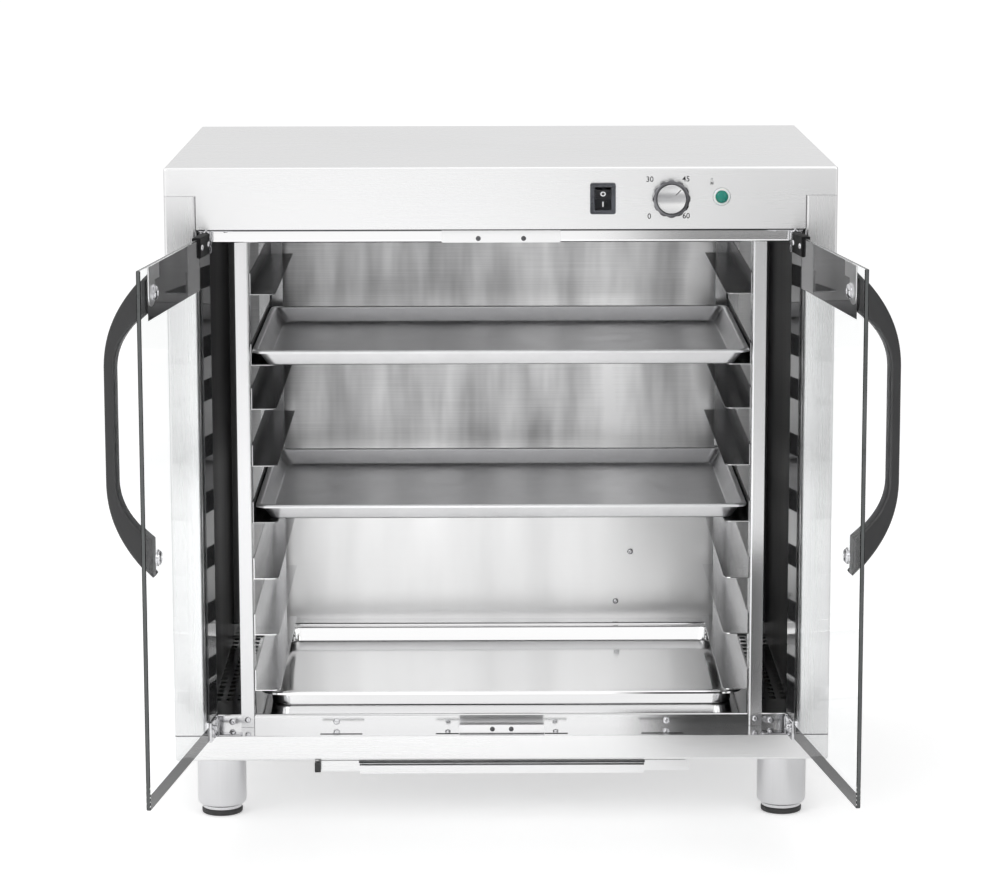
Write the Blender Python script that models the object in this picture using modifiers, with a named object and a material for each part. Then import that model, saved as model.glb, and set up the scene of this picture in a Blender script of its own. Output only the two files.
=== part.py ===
"""Proofing cabinet with two glass doors, a rack for baking trays and a water pan.

Metres, +Z up. X runs to the right across the front and Y runs into the cabinet.
Every piece hangs on one empty, whose own Y puts the middle of the open cabinet at zero.
"""

import math

import bmesh
import bpy
from mathutils import Matrix, Vector

for leftover in list(bpy.data.objects):
    bpy.data.objects.remove(leftover, do_unlink=True)

parts = bpy.data.collections.new("proofing_cabinet")
cutters = bpy.data.collections.new("cutters")
for group in (parts, cutters):
    bpy.context.scene.collection.children.link(group)

# Fits and fineness, shared by every piece
GAP = 0.0003
OVERRUN = 0.010
WELD = 0.00001
FOLD_STEPS = 3
ROUND_STEPS = 20

# Casing
CABINET_WIDTH = 0.800
CABINET_DEPTH = 0.580
CABINET_HEIGHT = 0.800
CASING_GAUGE = 0.0012
CASING_RADIUS = 0.003
STILE_WIDTH = 0.0375
STILE_RETURN = 0.024
COVER_SKIRT = 0.034
FASCIA_DROP = 0.074
BASE_BOTTOM = 0.075
BASE_FLANGE = 0.031
REAR_LIP = 0.020

# Lined chamber
LINER_GAUGE = 0.001
LINER_CLEARANCE = 0.0025
LINER_FRONT = 0.020
BACK_SPACE = 0.080
LINTEL_DROP = 0.0015
HEADER_HEIGHT = 0.0165
RISER_FACE = 0.046
RISER_HEIGHT = 0.014
FLOOR_RISE = 0.0154
STEP_DEPTH = 0.027
STEP_RISE = 0.0176

# Tray rack
RACK_CLEARANCE = 0.057
RACK_GAUGE = 0.0012
UPRIGHT_FACE = 0.017
UPRIGHT_RETURN = 0.024
REAR_UPRIGHT_DEPTH = 0.046
LEDGE_WIDTH = 0.0307
WEB_HEIGHT = 0.025
LEDGE_BELOW_CEILING = 0.065
LEDGE_ABOVE_FLOOR = 0.0316
LEDGE_COUNT = 8
SECOND_LEDGE_DROP = 0.016
LEDGE_CORNER = 0.008

# Doors
GLASS_GAUGE = 0.005
GLASS_SETBACK = 0.002
GLASS_HEEL = 0.004
GLASS_ABOVE_SILL = 0.004
GLASS_BELOW_FASCIA = 0.006
MEETING_GAP = 0.003
HINGE_INSET = 0.0125
DOOR_REST_ANGLE = math.radians(98)

half_width = CABINET_WIDTH / 2
opening_half = half_width - STILE_WIDTH
cover_low = CABINET_HEIGHT - COVER_SKIRT
fascia_low = CABINET_HEIGHT - FASCIA_DROP
base_top = BASE_BOTTOM + BASE_FLANGE
base_floor = BASE_BOTTOM + CASING_GAUGE
chamber_half = opening_half - LINER_CLEARANCE
panel_half = chamber_half - GAP
chamber_back = CABINET_DEPTH - BACK_SPACE
step_face = chamber_back - STEP_DEPTH
lintel_height = fascia_low - LINTEL_DROP
ceiling_height = lintel_height - HEADER_HEIGHT
floor_top = base_top + FLOOR_RISE
step_top = floor_top + STEP_RISE
rack_half = chamber_half - RACK_CLEARANCE
rear_upright_face = chamber_back - REAR_UPRIGHT_DEPTH
top_ledge = ceiling_height - LEDGE_BELOW_CEILING
low_ledge = floor_top + LEDGE_ABOVE_FLOOR
ledge_pitch = (top_ledge - low_ledge) / (LEDGE_COUNT - 1)
hinge_x = opening_half - HINGE_INSET
door_plane = GLASS_SETBACK + GLASS_GAUGE / 2
glass_low = base_top + GLASS_ABOVE_SILL
glass_high = fascia_low - GLASS_BELOW_FASCIA
glass_reach = hinge_x - MEETING_GAP / 2

# Cable gland, whose body reaches furthest back
GLAND_BODY = 0.018
GLAND_FLANGE = 0.005

front_reach = (door_plane - glass_reach * math.sin(DOOR_REST_ANGLE)
               + GLASS_GAUGE / 2 * math.cos(DOOR_REST_ANGLE))
back_reach = CABINET_DEPTH - CASING_GAUGE - GAP + GLAND_BODY

bpy.ops.object.empty_add(location=(0, -(front_reach + back_reach) / 2, 0))
cabinet = bpy.context.object
cabinet.name = "cabinet_frame"

STEEL = (0.60, 0.60, 0.61), 0.30, 1.0
BRIGHT_STEEL = (0.75, 0.75, 0.76), 0.18, 1.0
CHROME = (0.55, 0.55, 0.57), 0.12, 1.0
BLACK_PLASTIC = (0.02, 0.02, 0.02), 0.35, 0.0
GREY_PLASTIC = (0.10, 0.10, 0.11), 0.40, 0.0
CLEAR_GLASS = (0.80, 0.86, 0.85), 0.05, 0.0

# How a flat section stands, each as its turn and the way that it is drawn out:
# in Y and Z across the cabinet, in X and Z facing the front, or level in X and Y
ACROSS = (math.pi / 2, 0, math.pi / 2), Vector((1, 0, 0))
FACING = (math.pi / 2, 0, 0), Vector((0, 1, 0))
LEVEL = (0, 0, 0), Vector((0, 0, 1))


def keep(shape, name, look, holder=cabinet):
    """Names a finished piece, gives it its own material and hangs it on its holder."""
    colour, roughness, metallic = look
    surface = bpy.data.materials.new(name + "_finish")
    surface.use_nodes = True
    shader = surface.node_tree.nodes["Principled BSDF"]
    shader.inputs["Base Color"].default_value = (*colour, 1)
    shader.inputs["Roughness"].default_value = roughness
    shader.inputs["Metallic"].default_value = metallic
    shape.data.materials.clear()
    shape.data.materials.append(surface)
    shape.name = name
    shape.data.name = name
    for collection in list(shape.users_collection):
        collection.objects.unlink(shape)
    parts.objects.link(shape)
    shape.parent = holder
    return shape


def combine(shape, tool, operation="DIFFERENCE", holder=cabinet):
    """Cuts a tool out of a shape, or joins it on, and puts the tool among the cutters."""
    for collection in list(tool.users_collection):
        collection.objects.unlink(tool)
    cutters.objects.link(tool)
    tool.parent = holder
    tool.display_type = "WIRE"
    tool.hide_render = True
    change = shape.modifiers.new(tool.name, "BOOLEAN")
    change.operation = operation
    change.object = tool
    return shape


def block(name, low, high):
    """A rectangular block between two opposite corners."""
    size = [far - near for near, far in zip(low, high)]
    centre = [(far + near) / 2 for near, far in zip(low, high)]
    bpy.ops.mesh.primitive_cube_add(size=1, location=centre)
    shape = bpy.context.object
    shape.name = name
    shape.scale = size
    bpy.ops.object.transform_apply(location=False, rotation=False, scale=True)
    return shape


def rod(name, radius, start, end, steps=ROUND_STEPS):
    """A round rod between two points on a line along X, Y or Z."""
    run = Vector(end) - Vector(start)
    middle = (Vector(end) + Vector(start)) / 2
    turn = run.to_track_quat("Z", "Y").to_euler()
    bpy.ops.mesh.primitive_cylinder_add(vertices=steps, radius=radius, depth=run.length,
                                        location=middle, rotation=turn)
    shape = bpy.context.object
    shape.name = name
    shape.data.shade_smooth()
    shape.data.set_sharp_from_angle(angle=math.radians(40))
    return shape


def filleted(corners, radii, closed=False):
    """The points of a path whose corners are rounded to the radii given."""
    points = []
    count = len(corners)
    for index, (corner, radius) in enumerate(zip(corners, radii)):
        here = Vector(corner)
        ends_path = not closed and index in (0, count - 1)
        if ends_path or radius == 0:
            points.append(here)
            continue
        to_last = (Vector(corners[index - 1]) - here).normalized()
        to_next = (Vector(corners[(index + 1) % count]) - here).normalized()
        half_angle = to_last.angle(to_next) / 2
        centre = here + (to_last + to_next).normalized() * radius / math.sin(half_angle)
        first = here + to_last * radius / math.tan(half_angle) - centre
        last = here + to_next * radius / math.tan(half_angle) - centre
        swing = first.angle_signed(last)
        for step in range(FOLD_STEPS + 1):
            spoke = first.copy()
            spoke.rotate(Matrix.Rotation(-swing * step / FOLD_STEPS, 2))
            points.append(centre + spoke)
    return points


def drawn(name, points, closed, half_run):
    """A flat path drawn as a curve and extruded both ways, then made a mesh."""
    outline = bpy.data.curves.new(name, "CURVE")
    outline.dimensions = "2D"
    outline.fill_mode = "BOTH" if closed else "NONE"
    outline.extrude = half_run
    spline = outline.splines.new("POLY")
    spline.points.add(len(points) - 1)
    for knot, point in zip(spline.points, points):
        knot.co = (point[0], point[1], 0, 1)
    spline.use_cyclic_u = closed
    return as_mesh(bpy.data.objects.new(name, outline), name)


def as_mesh(curve, name):
    """The welded mesh object of a curve, which is then removed."""
    parts.objects.link(curve)
    bpy.context.view_layer.update()
    graph = bpy.context.evaluated_depsgraph_get()
    mesh = bpy.data.meshes.new_from_object(curve.evaluated_get(graph))
    work = bmesh.new()
    work.from_mesh(mesh)
    bmesh.ops.remove_doubles(work, verts=work.verts, dist=WELD)
    work.to_mesh(mesh)
    work.free()
    shape = bpy.data.objects.new(name, mesh)
    shape.matrix_world = curve.matrix_world
    line = curve.data
    bpy.data.objects.remove(curve)
    bpy.data.curves.remove(line)
    return shape


def sheet(name, face, radii, stance, start, end, gauge):
    """A folded sheet: the path is its face in section, and the metal lies to its left."""
    shape = drawn(name, filleted(face, radii), False, (end - start) / 2)
    turn, run = stance
    shape.rotation_euler = turn
    shape.location = run * (start + end) / 2
    wall = shape.modifiers.new("gauge", "SOLIDIFY")
    wall.thickness = gauge
    wall.offset = 1
    wall.use_even_offset = True
    return shape


def plate(name, outline, radii, stance, start, end):
    """A flat plate of a closed outline, between two places along its thickness."""
    shape = drawn(name, filleted(outline, radii, True), True, (end - start) / 2)
    turn, run = stance
    shape.rotation_euler = turn
    shape.location = run * (start + end) / 2
    return shape


def turned(name, profile, place, closed=False, stance=LEVEL, steps=ROUND_STEPS):
    """A turned piece from (radius, height) points that run down its outer side."""
    mesh = bpy.data.meshes.new(name)
    work = bmesh.new()
    knots = [work.verts.new((radius, 0, height)) for radius, height in profile]
    followers = knots[1:] + knots[:1] if closed else knots[1:]
    for knot, follower in zip(knots, followers):
        work.edges.new((knot, follower))
    work.to_mesh(mesh)
    work.free()
    shape = bpy.data.objects.new(name, mesh)
    shape.location = place
    shape.rotation_euler = stance[0]
    spin = shape.modifiers.new("turning", "SCREW")
    spin.axis = "Z"
    spin.steps = steps
    spin.render_steps = steps
    spin.use_merge_vertices = True
    spin.merge_threshold = WELD
    spin.use_smooth_shade = True
    return shape


def open_box(name, low, high, radius, open_top):
    """A sheet-metal box with one open side and rounded folds, its gauge to the inside."""
    shape = block(name, low, high)
    work = bmesh.new()
    work.from_mesh(shape.data)
    way = 1 if open_top else -1
    mouth = [face for face in work.faces if face.normal.z * way > 0.5]
    bmesh.ops.delete(work, geom=mouth, context="FACES_ONLY")
    folds = [edge for edge in work.edges if not edge.is_boundary]
    bmesh.ops.bevel(work, geom=folds, offset=radius, segments=FOLD_STEPS, profile=0.5,
                    affect="EDGES", clamp_overlap=True)
    work.to_mesh(shape.data)
    work.free()
    wall = shape.modifiers.new("gauge", "SOLIDIFY")
    wall.thickness = CASING_GAUGE
    wall.offset = -1
    wall.use_even_offset = True
    return shape


# Top cover with the front fascia: one folded sheet, lowered between the stiles
PILOT_INSET = 0.1005
KNOB_TO_PILOT = 0.060
SWITCH_TO_KNOB = 0.081
CONTROL_DROP = 0.0375
pilot_x = opening_half - PILOT_INSET
knob_x = pilot_x - KNOB_TO_PILOT
switch_x = knob_x - SWITCH_TO_KNOB
control_height = CABINET_HEIGHT - CONTROL_DROP

SWITCH_BODY_WIDTH = 0.0265
SWITCH_BODY_HEIGHT = 0.033
BUSHING_RADIUS = 0.005
PILOT_NECK = 0.0078

top_cover = open_box("top_cover", (-half_width, 0, fascia_low),
                     (half_width, CABINET_DEPTH, CABINET_HEIGHT), CASING_RADIUS, False)
combine(top_cover, block("skirt_trim", (-half_width - OVERRUN, CASING_GAUGE * 2, fascia_low - OVERRUN),
                         (half_width + OVERRUN, CABINET_DEPTH + OVERRUN, cover_low)))
for side in (-1, 1):
    inner = side * (opening_half - GAP)
    outer = side * (half_width + OVERRUN)
    combine(top_cover, block("stile_notch", (min(inner, outer), -OVERRUN, fascia_low - OVERRUN),
                             (max(inner, outer), CABINET_DEPTH + OVERRUN, cover_low)))
hole_half_width = SWITCH_BODY_WIDTH / 2 + GAP
hole_half_height = SWITCH_BODY_HEIGHT / 2 + GAP
combine(top_cover, block("switch_hole",
                         (switch_x - hole_half_width, -OVERRUN, control_height - hole_half_height),
                         (switch_x + hole_half_width, OVERRUN, control_height + hole_half_height)))
for hole_name, across, radius in (("thermostat_hole", knob_x, BUSHING_RADIUS),
                                  ("pilot_hole", pilot_x, PILOT_NECK)):
    combine(top_cover, rod(hole_name, radius + GAP, (across, -OVERRUN, control_height),
                           (across, OVERRUN, control_height)))
keep(top_cover, "top_cover", STEEL)

# Side panels: stile, side and rear lip folded from one sheet on each side
for side, name in ((-1, "left_side_panel"), (1, "right_side_panel")):
    section = [(side * opening_half, STILE_RETURN), (side * opening_half, 0),
               (side * half_width, 0), (side * half_width, CABINET_DEPTH),
               (side * (half_width - REAR_LIP), CABINET_DEPTH)]
    bends = [0, CASING_RADIUS, CASING_RADIUS, CASING_RADIUS, 0]
    panel = sheet(name, section[::side], bends, LEVEL, base_top + GAP, cover_low - GAP, CASING_GAUGE)
    keep(panel, name, STEEL)

# Rear panel between the side panels, with vent slots and the hole for the cable gland
REAR_PANEL_PLAY = 0.004
GLAND_NECK = 0.0075
GLAND_INSET = 0.100
GLAND_RISE = 0.044
VENT_LENGTH = 0.060
VENT_HEIGHT = 0.005
VENT_PITCH = 0.014
VENT_ROWS = 6
VENT_COLUMNS = 3
VENT_COLUMN_PITCH = 0.090
VENT_BELOW_COVER = 0.026

rear_face = CABINET_DEPTH - CASING_GAUGE - GAP
rear_half = half_width - REAR_PANEL_PLAY
vent_top = cover_low - VENT_BELOW_COVER
gland_x = half_width - GLAND_INSET
gland_height = base_top + GLAND_RISE
rear_panel = block("rear_panel", (-rear_half, rear_face - CASING_GAUGE, base_top + GAP),
                   (rear_half, rear_face, cover_low - GAP))
vents = block("vents", (-VENT_LENGTH / 2, rear_face - OVERRUN, vent_top - VENT_HEIGHT),
              (VENT_LENGTH / 2, rear_face + OVERRUN, vent_top))
vents.location.x -= (VENT_COLUMNS - 1) / 2 * VENT_COLUMN_PITCH
for count, step in ((VENT_COLUMNS, (VENT_COLUMN_PITCH, 0, 0)), (VENT_ROWS, (0, 0, -VENT_PITCH))):
    row = vents.modifiers.new("row", "ARRAY")
    row.count = count
    row.use_relative_offset = False
    row.use_constant_offset = True
    row.constant_offset_displace = step
combine(rear_panel, vents)
combine(rear_panel, rod("gland_hole", GLAND_NECK + GAP, (gland_x, rear_face - OVERRUN, gland_height),
                        (gland_x, rear_face + OVERRUN, gland_height)))
keep(rear_panel, "rear_panel", STEEL)

# Sill, with slots that let water off the glass run down into the drip tray
SLOT_WIDTH = 0.004
SLOT_CENTRE = 0.011
SLOT_SPANS = ((0.053, 0.080), (0.171, 0.221))
PIN_RADIUS = 0.003
pin_hole = PIN_RADIUS + GAP
sill_front = CASING_GAUGE + GAP
sill = sheet("sill", [(RISER_FACE, base_top + RISER_HEIGHT), (RISER_FACE, base_top),
                      (sill_front, base_top)], [0, 0, 0],
             ACROSS, -panel_half, panel_half, CASING_GAUGE)


def drain_slots(shape, name, low, high):
    """Cuts the slots of the water's way through a level sheet."""
    for side in (-1, 1):
        for near, far in SLOT_SPANS:
            span = sorted((side * near, side * far))
            combine(shape, block(name, (span[0], SLOT_CENTRE - SLOT_WIDTH / 2, low),
                                 (span[1], SLOT_CENTRE + SLOT_WIDTH / 2, high)))


drain_slots(sill, "sill_slot", base_top - OVERRUN, base_top + OVERRUN / 2)
for side in (-1, 1):
    combine(sill, rod("pin_hole", pin_hole, (side * hinge_x, door_plane, base_top - OVERRUN),
                      (side * hinge_x, door_plane, base_top + OVERRUN)))
keep(sill, "sill", STEEL)

# Base pan, its front flange the lower fascia, with two runners for the drip tray below it
DRIP_BODY_WIDTH = 0.425
DRIP_LIP = 0.009
DRIP_PLAY = 0.0015
DRIP_FRONT = 0.002
DRIP_LENGTH = 0.100
RUNNER_DROP = 0.0045
RUNNER_START = 0.006
base_pan = open_box("base_pan", (-half_width, 0, BASE_BOTTOM),
                    (half_width, CABINET_DEPTH, base_top), CASING_RADIUS, True)
drain_slots(base_pan, "base_slot", BASE_BOTTOM - OVERRUN, base_floor + OVERRUN)
runner_wall = DRIP_BODY_WIDTH / 2 + DRIP_LIP + DRIP_PLAY
runner_inner = DRIP_BODY_WIDTH / 2 + DRIP_PLAY
runner_foot = BASE_BOTTOM - RUNNER_DROP
for side in (-1, 1):
    section = [(side * runner_wall, base_floor - CASING_GAUGE / 2),
               (side * runner_wall, runner_foot), (side * runner_inner, runner_foot)]
    combine(base_pan, sheet("drip_runner", section[::side], [0, 0, 0], FACING,
                            RUNNER_START, RUNNER_START + DRIP_LENGTH, CASING_GAUGE), "UNION")
keep(base_pan, "base_pan", STEEL)

# Liner: both walls and the back of the chamber, folded from one sheet
ELEMENT_RADIUS = 0.004
ELEMENT_INSET = 0.015
ELEMENT_DROP = 0.0214
LINER_BELOW_LINTEL = 0.0007
element_x = chamber_half - ELEMENT_INSET
element_height = floor_top - ELEMENT_DROP
liner = sheet("liner", [(-chamber_half, LINER_FRONT), (-chamber_half, chamber_back),
                        (chamber_half, chamber_back), (chamber_half, LINER_FRONT)],
              [0, 0, 0, 0], LEVEL, base_floor + GAP,
              lintel_height - LINER_BELOW_LINTEL, LINER_GAUGE)
for side in (-1, 1):
    combine(liner, rod("element_hole", ELEMENT_RADIUS + GAP,
                       (side * element_x, chamber_back - OVERRUN, element_height),
                       (side * element_x, chamber_back + OVERRUN, element_height)))
keep(liner, "liner", STEEL)

# Ceiling: lintel behind the fascia, header strip and the roof of the chamber
ceiling = sheet("ceiling_panel", [(sill_front, lintel_height), (LINER_FRONT, lintel_height),
                                  (LINER_FRONT, ceiling_height),
                                  (chamber_back - GAP, ceiling_height)],
                [0, 0, CASING_RADIUS, 0], ACROSS, -panel_half, panel_half, LINER_GAUGE)
for side in (-1, 1):
    combine(ceiling, rod("pin_hole", pin_hole, (side * hinge_x, door_plane, lintel_height - OVERRUN),
                         (side * hinge_x, door_plane, lintel_height + OVERRUN)))
keep(ceiling, "ceiling_panel", STEEL)

# Chamber floor: front fold, level sheet with a grille on each side, and the rear step
GRILLE_SLOT_WIDTH = 0.008
GRILLE_SLOT_DEPTH = 0.013
GRILLE_COLUMN_PITCH = 0.014
GRILLE_COLUMNS = 3
GRILLE_ROWS = 16
GRILLE_INSET = 0.038
GRILLE_FRONT = 0.118
GRILLE_BEFORE_STEP = 0.012
FLOOR_SKIRT = 0.0134
grille_inner = chamber_half - GRILLE_INSET
grille_back = step_face - GRILLE_BEFORE_STEP - GRILLE_SLOT_DEPTH
row_pitch = (grille_back - GRILLE_FRONT) / (GRILLE_ROWS - 1)
floor_front = RISER_FACE + CASING_GAUGE + GAP
floor_panel = sheet("floor_panel", [(chamber_back - GAP, step_top), (step_face, step_top),
                                    (step_face, floor_top), (floor_front, floor_top),
                                    (floor_front, floor_top - FLOOR_SKIRT)],
                    [0, CASING_RADIUS, CASING_RADIUS, CASING_RADIUS, 0],
                    ACROSS, -panel_half, panel_half, LINER_GAUGE)
for side in (-1, 1):
    near = side * grille_inner
    far = side * (grille_inner + GRILLE_SLOT_WIDTH)
    slots = block("grille_slots", (min(near, far), GRILLE_FRONT, floor_top - OVERRUN),
                  (max(near, far), GRILLE_FRONT + GRILLE_SLOT_DEPTH, floor_top + OVERRUN))
    for count, step in ((GRILLE_COLUMNS, (side * GRILLE_COLUMN_PITCH, 0, 0)),
                        (GRILLE_ROWS, (0, row_pitch, 0))):
        row = slots.modifiers.new("row", "ARRAY")
        row.count = count
        row.use_relative_offset = False
        row.use_constant_offset = True
        row.constant_offset_displace = step
    combine(floor_panel, slots)
keep(floor_panel, "floor_panel", STEEL)

# Uprights of the rack: angles in front, and crank-shaped ones that stand on the rear step
upright_face = RISER_FACE - GAP - RACK_GAUGE
rear_upright_foot = chamber_back - GAP - RACK_GAUGE
for side, name in ((-1, "left"), (1, "right")):
    section = [(side * rack_half, upright_face + RACK_GAUGE + UPRIGHT_RETURN),
               (side * rack_half, upright_face), (side * (rack_half + UPRIGHT_FACE), upright_face)]
    upright = sheet("upright", section[::side], [0, CASING_RADIUS, 0], LEVEL,
                    base_top + GAP, ceiling_height - GAP, RACK_GAUGE)
    inner = side * (rack_half - OVERRUN)
    outer = side * (rack_half + UPRIGHT_FACE + OVERRUN)
    combine(upright, block("floor_notch",
                           (min(inner, outer), upright_face + RACK_GAUGE + GAP / 2, base_top - OVERRUN),
                           (max(inner, outer), upright_face + UPRIGHT_RETURN + OVERRUN,
                            floor_top + GAP)))
    keep(upright, name + "_front_upright", BRIGHT_STEEL)
    section = [(side * (rack_half - UPRIGHT_FACE), rear_upright_face),
               (side * rack_half, rear_upright_face),
               (side * rack_half, rear_upright_foot),
               (side * (rack_half + UPRIGHT_FACE), rear_upright_foot)]
    rear = sheet("rear_upright", section[::side], [0, CASING_RADIUS, CASING_RADIUS, 0], LEVEL,
                 step_top + GAP, ceiling_height - GAP, RACK_GAUGE)
    keep(rear, name + "_rear_upright", STEEL)

# Rails: eight pairs of angles, each a ledge under the tray and a web that guides it
rail_wall = rack_half - GAP - RACK_GAUGE
rail_inner = rack_half - GAP - LEDGE_WIDTH
rail_front = upright_face + RACK_GAUGE + GAP
rail_back = rear_upright_face - GAP
ledges = [top_ledge - ledge_pitch * level for level in range(LEDGE_COUNT)]
ledges[1] -= SECOND_LEDGE_DROP
for side, name in ((-1, "left"), (1, "right")):
    corner = [Vector((side * (rail_inner - OVERRUN), rail_front - OVERRUN)),
              Vector((side * (rail_inner + LEDGE_CORNER), rail_front - OVERRUN))]
    for step in range(FOLD_STEPS + 1):
        angle = math.pi / 2 * step / FOLD_STEPS
        corner.append(Vector((side * (rail_inner + LEDGE_CORNER * (1 - math.sin(angle))),
                              rail_front + LEDGE_CORNER * (1 - math.cos(angle)))))
    corner.append(Vector((side * (rail_inner - OVERRUN), rail_front + LEDGE_CORNER)))
    trim = plate("ledge_corner", corner, [0] * len(corner), LEVEL,
                 ledges[-1] - OVERRUN, top_ledge + OVERRUN)
    for level, height in enumerate(ledges, 1):
        section = [(side * rail_wall, height + WEB_HEIGHT), (side * rail_wall, height),
                   (side * rail_inner, height)]
        rail = sheet("rail", section[::side], [0, 0, 0], FACING, rail_front, rail_back, RACK_GAUGE)
        combine(rail, trim)
        keep(rail, "{}_rail_{}".format(name, level), STEEL)

# Catches: the striker block on the header strip, and the stop folded up from the sill
TOP_CATCH_WIDTH = 0.142
TOP_CATCH_HEIGHT = 0.015
BOTTOM_CATCH_WIDTH = 0.104
BOTTOM_CATCH_HEIGHT = 0.011
BOTTOM_CATCH_FOOT = 0.024
CATCH_RADIUS = 0.002
CATCH_GAUGE = 0.0015
KEEPER_GAUGE = 0.0012
catch_face = door_plane + GLASS_GAUGE / 2 + GAP + KEEPER_GAUGE + GAP
catch_top = lintel_height - GAP
half_catch = TOP_CATCH_WIDTH / 2
top_catch = plate("catch", [(-half_catch, catch_top - TOP_CATCH_HEIGHT),
                            (half_catch, catch_top - TOP_CATCH_HEIGHT),
                            (half_catch, catch_top), (-half_catch, catch_top)],
                  [CATCH_RADIUS] * 4, FACING, catch_face, LINER_FRONT - GAP)
keep(top_catch, "top_catch", BRIGHT_STEEL)
stop_foot = base_top + GAP
bottom_catch = sheet("stop", [(catch_face, stop_foot + BOTTOM_CATCH_HEIGHT), (catch_face, stop_foot),
                              (catch_face + BOTTOM_CATCH_FOOT, stop_foot)],
                     [0, CATCH_RADIUS, 0], ACROSS, -BOTTOM_CATCH_WIDTH / 2, BOTTOM_CATCH_WIDTH / 2,
                     CATCH_GAUGE)
keep(bottom_catch, "bottom_catch", BRIGHT_STEEL)


def rounded_slab(name, width, height, radius, near, far, place):
    """A slab with rounded corners that faces the front, round a place in X and Z."""
    slab = plate(name, [(-width / 2, -height / 2), (width / 2, -height / 2),
                        (width / 2, height / 2), (-width / 2, height / 2)],
                 [radius] * 4, FACING, near, far)
    slab.location.x = place[0]
    slab.location.z = place[1]
    return slab


# Switch: a bezel and body that clip into the fascia, round the well of the rocker
SWITCH_WIDTH = 0.0303
SWITCH_HEIGHT = 0.037
SWITCH_RISE = 0.003
SWITCH_RADIUS = 0.0025
SWITCH_DEPTH = 0.022
WELL_WIDTH = 0.0206
WELL_HEIGHT = 0.0280
WELL_DEPTH = 0.014
ROCKER_PIVOT = 0.003
ROCKER_TILT = math.radians(6)
ROCKER_HALF = 0.0125
ROCKER_END_RISE = 0.0085
ROCKER_WAIST_RISE = 0.0055
ROCKER_BACK = 0.004
ROCKER_BACK_HALF = 0.010
switch_place = (switch_x, control_height)
switch = rounded_slab("switch", SWITCH_WIDTH, SWITCH_HEIGHT, SWITCH_RADIUS,
                      -SWITCH_RISE - GAP, -GAP, switch_place)
combine(switch, rounded_slab("switch_body", SWITCH_BODY_WIDTH, SWITCH_BODY_HEIGHT, SWITCH_RADIUS / 2,
                             -SWITCH_RISE / 2, SWITCH_DEPTH, switch_place), "UNION")
combine(switch, rounded_slab("switch_well", WELL_WIDTH, WELL_HEIGHT, SWITCH_RADIUS / 2,
                             -OVERRUN, WELL_DEPTH, switch_place))
keep(switch, "switch_housing", GREY_PLASTIC)

rocker_outline = [Vector((-ROCKER_END_RISE, ROCKER_HALF)), Vector((-ROCKER_WAIST_RISE, 0)),
                  Vector((-ROCKER_END_RISE, -ROCKER_HALF)), Vector((ROCKER_BACK, -ROCKER_BACK_HALF)),
                  Vector((ROCKER_BACK, ROCKER_BACK_HALF))]
for point in rocker_outline:
    point.rotate(Matrix.Rotation(ROCKER_TILT, 2))
rocker_half_width = WELL_WIDTH / 2 - GAP
rocker = plate("rocker", rocker_outline, [0] * len(rocker_outline), ACROSS,
               -rocker_half_width, rocker_half_width)
rocker.location = (switch_x, ROCKER_PIVOT, control_height)
keep(rocker, "rocker", BLACK_PLASTIC)

# Thermostat behind the fascia, with the bushing and the shaft that carries the knob
THERMOSTAT_SIZE = 0.044
THERMOSTAT_DEPTH = 0.032
BUSHING_RISE = 0.0015
SHAFT_RADIUS = 0.003
KNOB_LENGTH = 0.0125
KNOB_FACE_GAUGE = 0.0025
half_thermostat = THERMOSTAT_SIZE / 2
shaft_end = BUSHING_RISE + KNOB_LENGTH - KNOB_FACE_GAUGE
thermostat = block("thermostat_body", (knob_x - half_thermostat, sill_front,
                                       control_height - half_thermostat),
                   (knob_x + half_thermostat, sill_front + THERMOSTAT_DEPTH,
                    control_height + half_thermostat))
combine(thermostat, rod("bushing", BUSHING_RADIUS, (knob_x, -BUSHING_RISE, control_height),
                        (knob_x, sill_front + OVERRUN, control_height)), "UNION")
combine(thermostat, rod("shaft", SHAFT_RADIUS, (knob_x, -shaft_end, control_height),
                        (knob_x, sill_front, control_height)), "UNION")
keep(thermostat, "thermostat", GREY_PLASTIC)

# Knob: a scalloped skirt and a flat round face, bored to run on the shaft
KNOB_RADIUS = 0.0225
KNOB_FACE_RADIUS = 0.0172
SCALLOP_DEPTH = 0.0010
SCALLOP_COUNT = 12
SCALLOP_STEPS = 6
knob_back = -BUSHING_RISE - GAP
knob_front = knob_back - KNOB_LENGTH
skirt = []
for step in range(SCALLOP_COUNT * SCALLOP_STEPS):
    angle = 2 * math.pi * step / (SCALLOP_COUNT * SCALLOP_STEPS)
    reach = KNOB_RADIUS - SCALLOP_DEPTH * (1 - math.cos(angle * SCALLOP_COUNT)) / 2
    skirt.append(Vector((reach * math.cos(angle), reach * math.sin(angle))))
knob = plate("knob", skirt, [0] * len(skirt), FACING, knob_front + KNOB_FACE_GAUGE, knob_back)
knob.location.x = knob_x
knob.location.z = control_height
combine(knob, rod("knob_face", KNOB_FACE_RADIUS, (knob_x, knob_front, control_height),
                  (knob_x, knob_back - KNOB_LENGTH / 2, control_height)), "UNION")
combine(knob, rod("knob_bore", SHAFT_RADIUS + GAP, (knob_x, -shaft_end - GAP, control_height),
                  (knob_x, OVERRUN, control_height)))
keep(knob, "knob", CHROME)

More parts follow.
